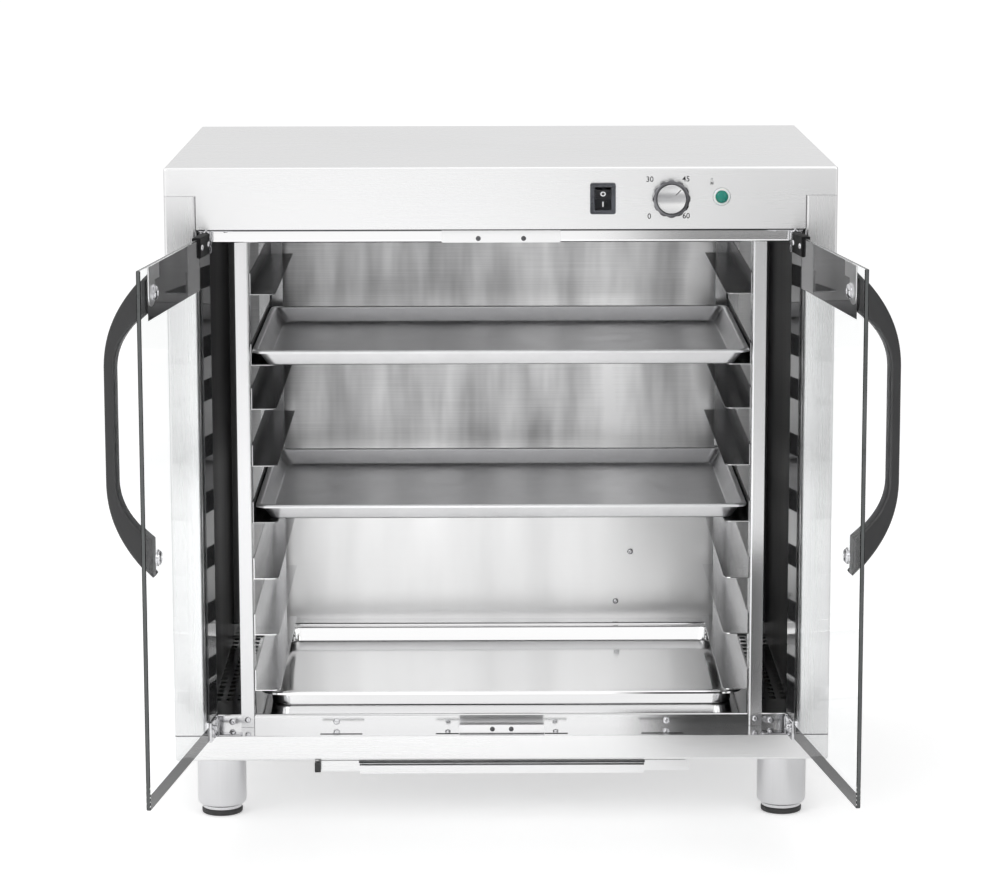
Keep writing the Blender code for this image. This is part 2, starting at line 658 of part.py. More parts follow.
# Pilot light: a domed lens in a round bezel, with its neck through the fascia
BEZEL_RADIUS = 0.0103
BEZEL_RISE = 0.003
LENS_RADIUS = 0.0072
LENS_RISE = 0.003
PILOT_DEPTH = 0.024
DOME_STEPS = 3
dome = [(LENS_RADIUS * math.sin(math.pi / 2 * step / DOME_STEPS),
         BEZEL_RISE + LENS_RISE * math.cos(math.pi / 2 * step / DOME_STEPS))
        for step in range(DOME_STEPS + 1)]
pilot = turned("pilot", dome + [(BEZEL_RADIUS - LENS_RISE / 2, BEZEL_RISE),
                                (BEZEL_RADIUS, BEZEL_RISE - LENS_RISE / 2), (BEZEL_RADIUS, GAP),
                                (PILOT_NECK, GAP), (PILOT_NECK, -PILOT_DEPTH), (0, -PILOT_DEPTH)],
               (pilot_x, 0, control_height), stance=FACING)
keep(pilot, "pilot_light", ((0.02, 0.45, 0.10), 0.2, 0.0))

# Heating element: one bent tube, a hairpin under each grille, its ends through the liner
ELEMENT_PITCH = 0.025
ELEMENT_FRONT = 0.120
ELEMENT_BACK_SPACE = 0.070
ELEMENT_TAIL = 0.014
inner_leg = element_x - ELEMENT_PITCH
element_back = chamber_back - ELEMENT_BACK_SPACE
route = [(-element_x, chamber_back + ELEMENT_TAIL), (-element_x, ELEMENT_FRONT),
         (-inner_leg, ELEMENT_FRONT), (-inner_leg, element_back), (inner_leg, element_back),
         (inner_leg, ELEMENT_FRONT), (element_x, ELEMENT_FRONT),
         (element_x, chamber_back + ELEMENT_TAIL)]
bend = ELEMENT_PITCH / 2 - GAP
bent = filleted(route, [0] + [bend] * (len(route) - 2) + [0])
tube = bpy.data.curves.new("element", "CURVE")
tube.dimensions = "3D"
tube.bevel_depth = ELEMENT_RADIUS
tube.bevel_resolution = 2
tube.use_fill_caps = True
spline = tube.splines.new("POLY")
spline.points.add(len(bent) - 1)
for knot, point in zip(spline.points, bent):
    knot.co = (point[0], point[1], 0, 1)
element = as_mesh(bpy.data.objects.new("element", tube), "element")
element.location.z = element_height
keep(element, "heating_element", ((0.25, 0.24, 0.23), 0.45, 1.0))

# Cable gland: flange and body behind the rear panel, neck through it, nut inside
GLAND_RADIUS = 0.012
GLAND_BARREL = 0.0095
GLAND_BORE = 0.004
GLAND_NUT = 0.004
nut_face = -CASING_GAUGE - GAP
gland_profile = [(GLAND_BARREL, GLAND_BODY), (GLAND_BARREL, GLAND_FLANGE), (GLAND_RADIUS, GLAND_FLANGE),
                 (GLAND_RADIUS, GAP), (GLAND_NECK, GAP), (GLAND_NECK, nut_face),
                 (GLAND_RADIUS, nut_face), (GLAND_RADIUS, nut_face - GLAND_NUT),
                 (GLAND_BORE, nut_face - GLAND_NUT), (GLAND_BORE, GLAND_BODY)]
gland = turned("gland", gland_profile, (gland_x, rear_face, gland_height), closed=True)
gland.rotation_euler = (-math.pi / 2, 0, 0)
keep(gland, "cable_gland", BLACK_PLASTIC)

# Feet: four hollow cups under the base, each on a levelling pad whose stem enters it
FOOT_RADIUS = 0.030
FOOT_WALL = 0.0015
FOOT_ROUND = 0.006
FOOT_SIDE_INSET = 0.055
FOOT_END_INSET = 0.045
PAD_RADIUS = 0.025
PAD_HEIGHT = 0.0107
PAD_CHAMFER = 0.0015
STEM_RADIUS = 0.005
STEM_HEIGHT = 0.040
foot_low = PAD_HEIGHT + GAP
foot_high = BASE_BOTTOM - GAP
foot_x = half_width - FOOT_SIDE_INSET
foot_back = CABINET_DEPTH - FOOT_END_INSET


def cup_side(radius, low, bend_radius, upward):
    """Points of a cup's wall round its lower bend, from the top down or from below."""
    points = [(radius, foot_high)]
    for step in range(FOLD_STEPS + 1):
        angle = math.pi / 2 * step / FOLD_STEPS
        points.append((radius - bend_radius * (1 - math.cos(angle)),
                       low + bend_radius * (1 - math.sin(angle))))
    return points[::-1] if upward else points


foot_profile = (cup_side(FOOT_RADIUS, foot_low, FOOT_ROUND, False)
                + [(STEM_RADIUS + GAP, foot_low), (STEM_RADIUS + GAP, foot_low + FOOT_WALL)]
                + cup_side(FOOT_RADIUS - FOOT_WALL, foot_low + FOOT_WALL, FOOT_ROUND - FOOT_WALL, True))
pad_profile = [(0, STEM_HEIGHT), (STEM_RADIUS, STEM_HEIGHT), (STEM_RADIUS, PAD_HEIGHT),
               (PAD_RADIUS - PAD_CHAMFER, PAD_HEIGHT), (PAD_RADIUS, PAD_HEIGHT - PAD_CHAMFER),
               (PAD_RADIUS, 0), (0, 0)]
for across, side_name in ((-foot_x, "left"), (foot_x, "right")):
    for along, end_name in ((FOOT_END_INSET, "front"), (foot_back, "rear")):
        name = "{}_{}_foot".format(end_name, side_name)
        keep(turned("foot", foot_profile, (across, along, 0), closed=True), name, STEEL)
        keep(turned("pad", pad_profile, (across, along, 0)), name + "_pad", BLACK_PLASTIC)


def pressed_pan(name, mouth, depth, corner, bend_radius, rim, lip, gauge, place):
    """A pan pressed from flat sheet: floor, rounded walls, level rim and turned-down lip."""
    bpy.ops.mesh.primitive_plane_add(size=1)
    shape = bpy.context.object
    shape.name = name
    length, width = mouth[0] - 2 * bend_radius, mouth[1] - 2 * bend_radius
    shape.scale = (length, width, 1)
    bpy.ops.object.transform_apply(location=False, rotation=False, scale=True)
    work = bmesh.new()
    work.from_mesh(shape.data)
    bmesh.ops.bevel(work, geom=work.verts[:], offset=corner, segments=FOLD_STEPS + 1, profile=0.5,
                    affect="VERTICES")
    rings = []
    for step in range(1, FOLD_STEPS + 1):
        angle = math.pi / 2 * step / FOLD_STEPS
        rings.append((bend_radius * math.sin(angle), bend_radius * math.sin(angle),
                      bend_radius * (1 - math.cos(angle))))
    rings.append((bend_radius, bend_radius, depth - gauge))
    rings.append((bend_radius + rim[0], bend_radius + rim[1], depth - gauge))
    if lip:
        rings.append((bend_radius + rim[0], bend_radius + rim[1], depth - gauge - lip))
    spread, height = (0, 0), 0
    for grow_x, grow_y, rise in rings:
        edges = [edge for edge in work.edges if edge.is_boundary]
        fresh = bmesh.ops.extrude_edge_only(work, edges=edges)["geom"]
        ring = [item for item in fresh if isinstance(item, bmesh.types.BMVert)]
        bmesh.ops.scale(work, verts=ring, vec=((length + 2 * grow_x) / (length + 2 * spread[0]),
                                               (width + 2 * grow_y) / (width + 2 * spread[1]), 1))
        bmesh.ops.translate(work, verts=ring, vec=(0, 0, rise - height))
        spread, height = (grow_x, grow_y), rise
    bmesh.ops.recalc_face_normals(work, faces=work.faces)
    if max(work.faces, key=lambda face: face.calc_area()).normal.z > 0:
        bmesh.ops.reverse_faces(work, faces=work.faces)
    work.to_mesh(shape.data)
    work.free()
    shape.location = place
    wall = shape.modifiers.new("gauge", "SOLIDIFY")
    wall.thickness = gauge
    wall.offset = -1
    wall.use_even_offset = True
    return shape


# Trays: two pressed baking trays that slide on their ledges
TRAY_SIDE_PLAY = 0.003
TRAY_BACK_PLAY = 0.004
TRAY_LENGTH = 0.400
TRAY_DEPTH = 0.020
TRAY_GAUGE = 0.0012
TRAY_CORNER = 0.012
TRAY_BEND = 0.013
TRAY_RIM = 0.005
TRAY_LIP = 0.0025
UPPER_TRAY_PULL = 0.025
rim_reach = TRAY_RIM + TRAY_GAUGE
tray_width = 2 * (rack_half - TRAY_SIDE_PLAY)
tray_back = rear_upright_face - TRAY_BACK_PLAY
for name, level, pull in (("upper_tray", 1, UPPER_TRAY_PULL), ("lower_tray", 4, 0)):
    tray = pressed_pan("tray", (tray_width - 2 * rim_reach, TRAY_LENGTH - 2 * rim_reach), TRAY_DEPTH,
                       TRAY_CORNER, TRAY_BEND, (TRAY_RIM, TRAY_RIM), TRAY_LIP, TRAY_GAUGE,
                       (0, tray_back - pull - TRAY_LENGTH / 2, ledges[level] + GAP))
    keep(tray, name, BRIGHT_STEEL)

# Water pan on the floor, in front of the rear uprights
PAN_SIDE_PLAY = 0.004
PAN_LENGTH = 0.370
PAN_DEPTH = 0.020
pan_width = 2 * (rack_half - PAN_SIDE_PLAY)
pan = pressed_pan("pan", (pan_width - 2 * rim_reach, PAN_LENGTH - 2 * rim_reach), PAN_DEPTH,
                  TRAY_CORNER, TRAY_BEND, (TRAY_RIM, TRAY_RIM), TRAY_LIP, TRAY_GAUGE,
                  (0, tray_back - PAN_LENGTH / 2, floor_top + GAP))
keep(pan, "water_pan", BRIGHT_STEEL)

# Drip tray: a shallow trough on the runners, with its front plate and pull lip
DRIP_DEPTH = 0.0098
DRIP_BEND = 0.003
DRIP_CORNER = 0.004
DRIP_FRONT_LIP = 0.004
DRIP_FRONT_HEIGHT = 0.013
DRIP_FRONT_OVERHANG = 0.007
PULL_INSET = 0.054
PULL_DROP = 0.0032
PULL_REACH = 0.008
drip_rest = runner_foot + GAP
drip_plane = DRIP_FRONT + CASING_GAUGE / 2
drip_length = DRIP_LENGTH - DRIP_FRONT
drip_tray = pressed_pan("trough", (DRIP_BODY_WIDTH, drip_length - 2 * DRIP_FRONT_LIP), DRIP_DEPTH,
                        DRIP_CORNER, DRIP_BEND, (DRIP_LIP, DRIP_FRONT_LIP), 0, CASING_GAUGE,
                        (0, drip_plane + drip_length / 2, drip_rest - DRIP_DEPTH + CASING_GAUGE))
front_top = BASE_BOTTOM - GAP
front_low = front_top - DRIP_FRONT_HEIGHT
half_front = DRIP_BODY_WIDTH / 2 + DRIP_LIP + DRIP_FRONT_OVERHANG
half_pull = half_front - PULL_INSET
combine(drip_tray, block("drip_front", (-half_front, DRIP_FRONT, front_low),
                         (half_front, DRIP_FRONT + CASING_GAUGE, front_top)), "UNION")
combine(drip_tray, block("finger_gap", (-half_pull, DRIP_FRONT - OVERRUN, front_top - PULL_DROP),
                         (half_pull, DRIP_FRONT + OVERRUN, front_top + OVERRUN)))
pull_plane = DRIP_FRONT - CASING_GAUGE / 4
pull_under = front_top - PULL_DROP - CASING_GAUGE * 5 / 4
combine(drip_tray, sheet("pull_lip", [(-PULL_REACH, pull_under), (pull_plane, pull_under),
                                      (pull_plane, front_low - PULL_DROP)], [0, 0, 0], ACROSS,
                         CASING_GAUGE - half_pull, half_pull - CASING_GAUGE, CASING_GAUGE), "UNION")
keep(drip_tray, "drip_tray", BRIGHT_STEEL)

# Doors: each hangs on an empty on its hinge line and is drawn as if shut, then turned open
CLAMP_LENGTH = 0.040
CLAMP_THICKNESS = 0.017
CLAMP_HEIGHT = 0.0245
CLAMP_CAP = 0.0025
CLAMP_ROUND = 0.008
PIN_LENGTH = 0.0105
COLLAR_RADIUS = 0.005
HANDLE_INSET = 0.055
HANDLE_WIDTH = 0.022
HANDLE_STRAIGHT = 0.060
HANDLE_REACH = 0.050
HANDLE_INNER_REACH = 0.038
HANDLE_FOOT = 0.0435
HANDLE_EASING = 2.3
HANDLE_STEPS = 7
HANDLE_EDGE = 0.003
SCREW_SPACING = 0.300
SCREW_DROP = 0.031
SCREW_HOLE = 0.004
KEEPER_OUTER = 0.022
KEEPER_WIDTH = 0.051
KEEPER_HEIGHT = 0.017
KEEPER_LEG = 0.029
KEEPER_BELOW_SCREW = 0.014
KEEPER_ROUND = 0.012

handle_s = glass_reach - HANDLE_INSET
top_screw = glass_high - SCREW_DROP
screw_heights = (top_screw - SCREW_SPACING, top_screw)
handle_z = top_screw - SCREW_SPACING / 2
outer_half = (SCREW_SPACING + HANDLE_FOOT) / 2
inner_half = (SCREW_SPACING - HANDLE_FOOT) / 2
keeper_low = top_screw - KEEPER_BELOW_SCREW
glass_half = GLASS_GAUGE / 2


def bow(reach, half_length, upward):
    """Points of one side of the handle's bow: straight in the middle, eased to the ends."""
    points = []
    for end in (-1, 1):
        eased = []
        for step in range(HANDLE_STEPS + 1):
            share = step / HANDLE_STEPS
            rise = HANDLE_STRAIGHT + (half_length - HANDLE_STRAIGHT) * (1 - (1 - share) ** 2)
            part = (rise - HANDLE_STRAIGHT) / (half_length - HANDLE_STRAIGHT)
            eased.append(Vector((-glass_half - GAP - reach * (1 - part ** HANDLE_EASING),
                                 handle_z + end * rise)))
        points += eased[::-1] if end < 0 else eased
    return points if upward else points[::-1]


for side, name in ((-1, "left"), (1, "right")):
    bpy.ops.object.empty_add(location=(side * hinge_x, door_plane, 0))
    hinge = bpy.context.object
    hinge.name = name + "_door_hinge"
    hinge.parent = cabinet

    def along(distance):
        """The place along X of a distance from the hinge line towards the free edge."""
        return -side * distance

    near, far = sorted((along(-GLASS_HEEL), along(glass_reach)))
    glass = block("glass", (near, -glass_half, glass_low), (far, glass_half, glass_high))
    for height in screw_heights:
        combine(glass, rod("screw_hole", SCREW_HOLE, (along(handle_s), -OVERRUN, height),
                           (along(handle_s), OVERRUN, height)), holder=hinge)
    keep(glass, name + "_door_glass", CLEAR_GLASS, hinge)

    handle = plate("handle", bow(HANDLE_REACH, outer_half, True)
                   + bow(HANDLE_INNER_REACH, inner_half, False),
                   [0] * (4 * HANDLE_STEPS + 4), ACROSS,
                   along(handle_s) - HANDLE_WIDTH / 2, along(handle_s) + HANDLE_WIDTH / 2)
    soft = handle.modifiers.new("soft_edges", "BEVEL")
    soft.width = HANDLE_EDGE
    soft.segments = 2
    soft.limit_method = "ANGLE"
    soft.angle_limit = math.radians(50)
    keep(handle, name + "_door_handle", GREY_PLASTIC, hinge)

    edge = handle_s + KEEPER_OUTER
    keeper_outline = [(along(edge), glass_high), (along(edge - KEEPER_WIDTH), glass_high),
                      (along(edge - KEEPER_WIDTH), glass_high - KEEPER_HEIGHT),
                      (along(edge - KEEPER_LEG), glass_high - KEEPER_HEIGHT),
                      (along(edge - KEEPER_LEG), keeper_low),
                      (along(edge), keeper_low)]
    keeper = plate("keeper", keeper_outline, [0, 0, 0, 0, KEEPER_ROUND, KEEPER_ROUND], FACING,
                   glass_half + GAP, glass_half + GAP + KEEPER_GAUGE)
    combine(keeper, rod("keeper_hole", SCREW_HOLE, (along(handle_s), 0, top_screw),
                        (along(handle_s), OVERRUN, top_screw)), holder=hinge)
    keep(keeper, name + "_door_keeper", STEEL, hinge)

    heel = -CLAMP_THICKNESS / 2
    plan = [(along(heel), heel), (along(CLAMP_LENGTH), heel), (along(CLAMP_LENGTH), -heel),
            (along(heel), -heel)]
    for way, height, end_name in ((1, glass_high, "top"), (-1, glass_low, "bottom")):
        cap = height + way * CLAMP_CAP
        low, high = sorted((cap, cap - way * CLAMP_HEIGHT))
        clamp = plate("clamp", plan, [CLAMP_ROUND, CASING_RADIUS, CASING_RADIUS, CLAMP_ROUND],
                      LEVEL, low, high)
        near, far = sorted((along(-GLASS_HEEL - GAP), along(CLAMP_LENGTH + OVERRUN)))
        low, high = sorted((height + way * GAP, height - way * (CLAMP_HEIGHT + OVERRUN)))
        combine(clamp, block("glass_slot", (near, -glass_half - GAP, low),
                             (far, glass_half + GAP, high)), holder=hinge)
        combine(clamp, rod("pin", PIN_RADIUS, (0, 0, cap - way * CLAMP_CAP / 2),
                           (0, 0, cap + way * PIN_LENGTH)), "UNION", hinge)
        if way < 0:
            combine(clamp, rod("collar", COLLAR_RADIUS, (0, 0, cap - way * CLAMP_CAP / 2),
                               (0, 0, base_top + GAP)), "UNION", hinge)
        keep(clamp, "{}_door_{}_clamp".format(name, end_name), BLACK_PLASTIC, hinge)

    hinge.rotation_euler.z = side * DOOR_REST_ANGLE
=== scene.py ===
import math

import bpy
from mathutils import Matrix, Vector


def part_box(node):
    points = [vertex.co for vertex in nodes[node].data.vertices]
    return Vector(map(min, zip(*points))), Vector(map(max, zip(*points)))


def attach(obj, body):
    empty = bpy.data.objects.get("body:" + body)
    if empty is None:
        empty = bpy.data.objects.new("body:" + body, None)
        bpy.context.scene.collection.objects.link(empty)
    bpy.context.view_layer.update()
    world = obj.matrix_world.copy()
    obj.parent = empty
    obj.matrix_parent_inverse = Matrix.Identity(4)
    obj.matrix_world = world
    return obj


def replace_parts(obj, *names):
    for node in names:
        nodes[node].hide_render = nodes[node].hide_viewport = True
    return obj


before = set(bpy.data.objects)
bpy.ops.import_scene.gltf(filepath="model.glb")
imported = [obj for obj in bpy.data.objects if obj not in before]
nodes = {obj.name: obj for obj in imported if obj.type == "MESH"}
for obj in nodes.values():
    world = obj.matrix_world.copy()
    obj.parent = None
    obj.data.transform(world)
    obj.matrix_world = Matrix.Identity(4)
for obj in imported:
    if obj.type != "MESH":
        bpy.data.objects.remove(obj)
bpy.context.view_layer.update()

# The view: a long lens 4 m before the doors and 0.4 m above the top, as a product is
# photographed. It looks down by 10 degrees.
CAMERA_PLACE = (-0.0223, -4.2875, 1.2004)
bpy.ops.object.select_all(action="DESELECT")
bpy.ops.object.camera_add()
camera = bpy.context.object
camera.matrix_world = (Matrix.Translation(CAMERA_PLACE)
                       @ Matrix.Rotation(math.radians(-0.285), 4, "Z")
                       @ Matrix.Rotation(math.radians(79.953), 4, "X")
                       @ Matrix.Rotation(math.radians(-0.111), 4, "Z"))
camera.data.lens = 126.65
camera.data.clip_end = 200
bpy.context.scene.camera = camera
bpy.context.scene.view_settings.view_transform = "Standard"


# The studio: a white paper floor that runs back out of sight, and white light from all
# round that is a little weaker from the right and from behind. Straight rays and rays
# through glass see plain white.
def wire(node, sockets):
    """Sets a node's sockets, each to a value, an output, or another node's first output."""
    for name, value in sockets.items():
        if isinstance(value, bpy.types.Node):
            value = value.outputs[0]
        if isinstance(value, bpy.types.NodeSocket):
            node.id_data.links.new(value, node.inputs[name])
        else:
            node.inputs[name].default_value = value


def lay(tree, kind, sockets=None, **settings):
    """Adds a node with its settings and sockets."""
    made = tree.nodes.new("ShaderNode" + kind)
    for name, value in settings.items():
        setattr(made, name, value)
    wire(made, sockets or {})
    return made


def linear(shade):
    """An sRGB hex colour as the linear values that a shader takes."""
    parts = [int(shade[place:place + 2], 16) / 255 for place in (1, 3, 5)]
    return [*(part / 12.92 if part <= 0.04045 else ((part + 0.055) / 1.055) ** 2.4
              for part in parts), 1]


WHITE = (1, 1, 1, 1)
world = bpy.data.worlds.new("studio")
bpy.context.scene.world = world
world.use_nodes = True
sky = world.node_tree
sky.nodes.clear()
direction = lay(sky, "SeparateXYZ", {0: lay(sky, "TexCoord").outputs["Generated"]})
from_right = lay(sky, "MapRange", {"Value": direction.outputs["X"], "From Min": 0.15,
                                   "From Max": 1.0, "To Min": 1.0, "To Max": 0.5},
                 interpolation_type="SMOOTHSTEP")
from_behind = lay(sky, "MapRange", {"Value": direction.outputs["Y"], "From Min": 0.2,
                                    "From Max": 0.95, "To Min": 1.0, "To Max": 0.82},
                  interpolation_type="SMOOTHSTEP")
ray = lay(sky, "LightPath")
plain_view = lay(sky, "Math", {0: ray.outputs["Is Camera Ray"],
                               1: ray.outputs["Is Transmission Ray"]}, operation="MAXIMUM")
any_view = lay(sky, "Math", {0: plain_view, 1: ray.outputs["Is Glossy Ray"]},
               operation="MAXIMUM")
ambient = lay(sky, "MapRange", {"Value": any_view, "To Min": 0.84, "To Max": 1.0})
fall_off = lay(sky, "Math", {0: from_right, 1: from_behind}, operation="MULTIPLY")
lit = lay(sky, "Math", {0: fall_off, 1: ambient}, operation="MULTIPLY")
strength = lay(sky, "MapRange", {"Value": plain_view, "To Min": lit, "To Max": 1.0})
glow = lay(sky, "Background", {"Color": WHITE, "Strength": strength})
lay(sky, "OutputWorld", {"Surface": glow})

# The paper is lifted to white where it is seen, and in reflections only near the cabinet
# and not at its right, so that steel mirrors a floor that darkens towards the back.
PAPER_LIFT = 0.36
paper = bpy.data.materials.new("white_studio_paper")
paper.use_nodes = True
sheet = paper.node_tree
sheet.nodes.clear()
matt = lay(sheet, "BsdfDiffuse", {"Color": linear("#F4F4F4")})
ray = lay(sheet, "LightPath")
plain_view = lay(sheet, "Math", {0: ray.outputs["Is Camera Ray"],
                                 1: ray.outputs["Is Transmission Ray"]}, operation="MAXIMUM")
ground = lay(sheet, "SeparateXYZ", {0: lay(sheet, "TexCoord").outputs["Object"]})
ahead = lay(sheet, "MapRange", {"Value": ground.outputs["Y"], "From Min": -0.4,
                                "From Max": 0.9, "To Min": PAPER_LIFT, "To Max": 0.0})
beside = lay(sheet, "MapRange", {"Value": ground.outputs["X"], "From Min": 0.30,
                                 "From Max": 0.50, "To Min": 1.0, "To Max": 0.2},
             interpolation_type="SMOOTHSTEP")
mirrored = lay(sheet, "Math", {0: beside, 1: ahead}, operation="MULTIPLY")
mirrored = lay(sheet, "Math", {0: ray.outputs["Is Glossy Ray"], 1: mirrored},
               operation="MULTIPLY")
lift = lay(sheet, "Math", {0: plain_view, 1: PAPER_LIFT, 2: mirrored},
           operation="MULTIPLY_ADD")
shine = lay(sheet, "Emission", {"Color": WHITE, "Strength": lift})
lay(sheet, "OutputMaterial", {"Surface": lay(sheet, "AddShader", {0: matt, 1: shine})})
bpy.ops.mesh.primitive_plane_add(size=120, location=(0, 0, -0.0005))
floor = bpy.context.object
floor.name = "studio_floor"
floor.data.materials.append(paper)

# Three dark flags right of the camera, as are set up to give bright steel some contrast:
# a black strip and a grey cloth on one stand, and a small black one on the floor. Only
# reflections show them, and their left edges are soft.
for name, low, high, soft_from, soft_to, tone in (
        ("strip_studio_flag", (0.18, -2.35, 0.405), (0.62, -2.35, 0.492), 0.21, 0.35, 0.02),
        ("stand_studio_flag", (0.25, -2.36, 0.085), (0.80, -2.36, 0.430), 0.25, 0.42, 0.46),
        ("floor_studio_flag", (0.13, -0.45, 0.013), (0.375, -0.45, 0.250), 0.15, 0.25, 0.03)):
    cloth = bpy.data.materials.new(name + "_cloth")
    cloth.use_nodes = True
    weave = cloth.node_tree
    weave.nodes.clear()
    across = lay(weave, "SeparateXYZ", {0: lay(weave, "TexCoord").outputs["Object"]})
    density = lay(weave, "MapRange", {"Value": across.outputs["X"], "From Min": soft_from,
                                      "From Max": soft_to}, interpolation_type="SMOOTHSTEP")
    shine = lay(weave, "Emission", {"Color": WHITE, "Strength": tone})
    open_weave = lay(weave, "BsdfTransparent")
    lay(weave, "OutputMaterial", {
        "Surface": lay(weave, "MixShader", {0: density, 1: open_weave, 2: shine})})
    bpy.ops.mesh.primitive_plane_add(size=1)
    flag = bpy.context.object
    flag.name = name
    spread = Vector(high) - Vector(low)
    flag.matrix_world = (Matrix.Translation((Vector(low) + Vector(high)) / 2)
                         @ Matrix.Rotation(math.pi / 2, 4, "X")
                         @ Matrix.Diagonal((spread.x, spread.z, 1, 1)))
    bpy.ops.object.transform_apply(location=True, rotation=True, scale=True)
    flag.data.materials.append(cloth)
    for kind in ("camera", "diffuse", "transmission", "volume_scatter", "shadow"):
        setattr(flag, "visible_" + kind, False)

# Lamps: a large softbox on each side of the camera and one overhead, all turned to the
# middle of the cabinet. The last is small, low and wide, and looks straight in.
CABINET_MIDDLE = Vector((0, 0, 0.4))
for name, place, size, power in (("key_softbox", (-2.6, -3.6, 3.0), 2.6, 30),
                                 ("fill_softbox", (2.8, -3.4, 2.2), 2.2, 14),
                                 ("top_softbox", (0.2, 0.6, 3.4), 2.4, 8),
                                 ("low_softbox", (-0.06, -1.15, 0.19), 0.56, 0.3)):
    bpy.ops.object.light_add(type="AREA", location=place)
    lamp = bpy.context.object
    lamp.name = name
    lamp.data.size = size
    lamp.data.energy = power
    lamp.rotation_euler = (Vector(place) - CABINET_MIDDLE).to_track_quat("Z", "Y").to_euler()
lamp.data.shape = "RECTANGLE"
lamp.data.size_y = 0.30
lamp.rotation_euler = (math.pi / 2, 0, 0)


# Casing: top cover with the fascia, side panels, rear panel and base pan, folded from
# 1.2 mm AISI 304 stainless sheet and screwed together. Its satin face is brushed along
# each sheet, which gives fine streaks and smears what it mirrors across them.
def blank(name):
    """A new material with its node tree and its shader."""
    made = bpy.data.materials.new(name)
    made.use_nodes = True
    return made, made.node_tree, made.node_tree.nodes["Principled BSDF"]


def brushed_steel(name, light, dark, roughness, grain, cloud=0.0, bands=None, smear=0.3,
                  rim="#FFFFFF"):
    """Brushed stainless sheet: scratches along one axis, slow clouds along the bands."""
    metal, tree, shader = blank(name)
    spot = lay(tree, "TexCoord").outputs["Object"]
    # Real scratches are 0.1 mm wide. They are drawn 1.5 mm wide, as fine as can show.
    stretch = [650, 650, 650]
    stretch["XYZ".index(grain)] = 5
    scratches = lay(tree, "TexNoise", {
        "Vector": lay(tree, "Mapping", {"Vector": spot, "Scale": stretch}),
        "Scale": 1.0, "Detail": 3.0, "Roughness": 0.6})
    # Clouds from rolling are about 110 mm wide and 600 mm long.
    drift = [9, 9, 9]
    drift["XYZ".index(bands or grain)] = 1.6
    clouds = lay(tree, "TexNoise", {
        "Vector": lay(tree, "Mapping", {"Vector": spot, "Scale": drift}),
        "Scale": 1.0, "Detail": 4.0, "Roughness": 0.55})
    tone = lay(tree, "Math", {0: clouds, 1: cloud, 2: 0.5 - cloud / 2},
               operation="MULTIPLY_ADD")
    streak = lay(tree, "Math", {0: scratches, 1: 0.24, 2: tone}, operation="MULTIPLY_ADD")
    span = {"Value": streak, "From Min": 0.32, "From Max": 0.92}
    colour = lay(tree, "Mix", {0: lay(tree, "MapRange", span), 6: linear(dark),
                               7: linear(light)}, data_type="RGBA")
    gloss = lay(tree, "MapRange", {**span, "To Min": roughness * 1.1,
                                   "To Max": roughness * 0.92})
    grit = lay(tree, "Bump", {"Height": scratches, "Strength": 0.012, "Distance": 0.0004})
    wire(shader, {"Base Color": colour.outputs[2], "Roughness": gloss, "Normal": grit,
                  "Metallic": 1.0, "Specular Tint": linear(rim), "Anisotropic": smear,
                  "Anisotropic Rotation": 0.25 if grain == "X" else 0.0})
    return metal


def shade_in(metal, mask, shade):
    """Mixes a shade into a metal's colour where a mask is one."""
    colour = metal.node_tree.nodes["Principled BSDF"].inputs["Base Color"]
    mixed = lay(metal.node_tree, "Mix", {0: mask, 6: colour.links[0].from_socket,
                                         7: linear(shade)}, data_type="RGBA")
    metal.node_tree.links.new(mixed.outputs[2], colour)


# The stiles' front face, from which all depths are measured.
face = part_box("left_side_panel")[0].y
satin_across = brushed_steel("satin_stainless_across", "#F0F0F0", "#EBEBEC", 0.27, "X", 0.3)

# The side panels' cut lower edges show as a dark seam on the sill.
SEAM_TOP, SEAM_FOOT = 0.1078, 0.1070
satin_upright = brushed_steel("satin_stainless_upright", "#EAEAEA", "#E6E6E7", 0.27, "Z", 0.3)
tree = satin_upright.node_tree
spot = lay(tree, "SeparateXYZ", {0: lay(tree, "TexCoord").outputs["Object"]})
shade_in(satin_upright, lay(tree, "MapRange", {"Value": spot.outputs["Z"],
                                               "From Min": SEAM_TOP, "From Max": SEAM_FOOT}),
         "#6E6E70")

# The base pan's inside floor is painted dark as shade, which shows through the grilles and
# drain slots.
SHADED_MIDDLE = (0, face + 0.290, 0.0775)
SHADED_HALF = (("X", 0.392), ("Y", 0.282))
SHADED_HALF_GAUGE = 0.0018
satin_base = brushed_steel("satin_base_painted_shade_inside", "#F0F0F0", "#EBEBEC", 0.27, "X", 0.3)
tree = satin_base.node_tree
spot = lay(tree, "VectorMath", {0: lay(tree, "TexCoord").outputs["Object"],
                                1: SHADED_MIDDLE}, operation="SUBTRACT")
spot = lay(tree, "SeparateXYZ", {0: lay(tree, "VectorMath", {0: spot}, operation="ABSOLUTE")})
shade_inside_pan = lay(tree, "Math", {0: spot.outputs["Z"], 1: SHADED_HALF_GAUGE},
             operation="LESS_THAN")
for axis, half in SHADED_HALF:
    within = lay(tree, "Math", {0: spot.outputs[axis], 1: half}, operation="LESS_THAN")
    shade_inside_pan = lay(tree, "Math", {0: shade_inside_pan, 1: within}, operation="MULTIPLY")
shade_in(satin_base, shade_inside_pan, "#2E2E2F")
for name, metal in (("top_cover", satin_across), ("base_pan", satin_base),
                    ("left_side_panel", satin_upright), ("right_side_panel", satin_upright),
                    ("rear_panel", satin_upright)):
    nodes[name].material_slots[0].material = metal

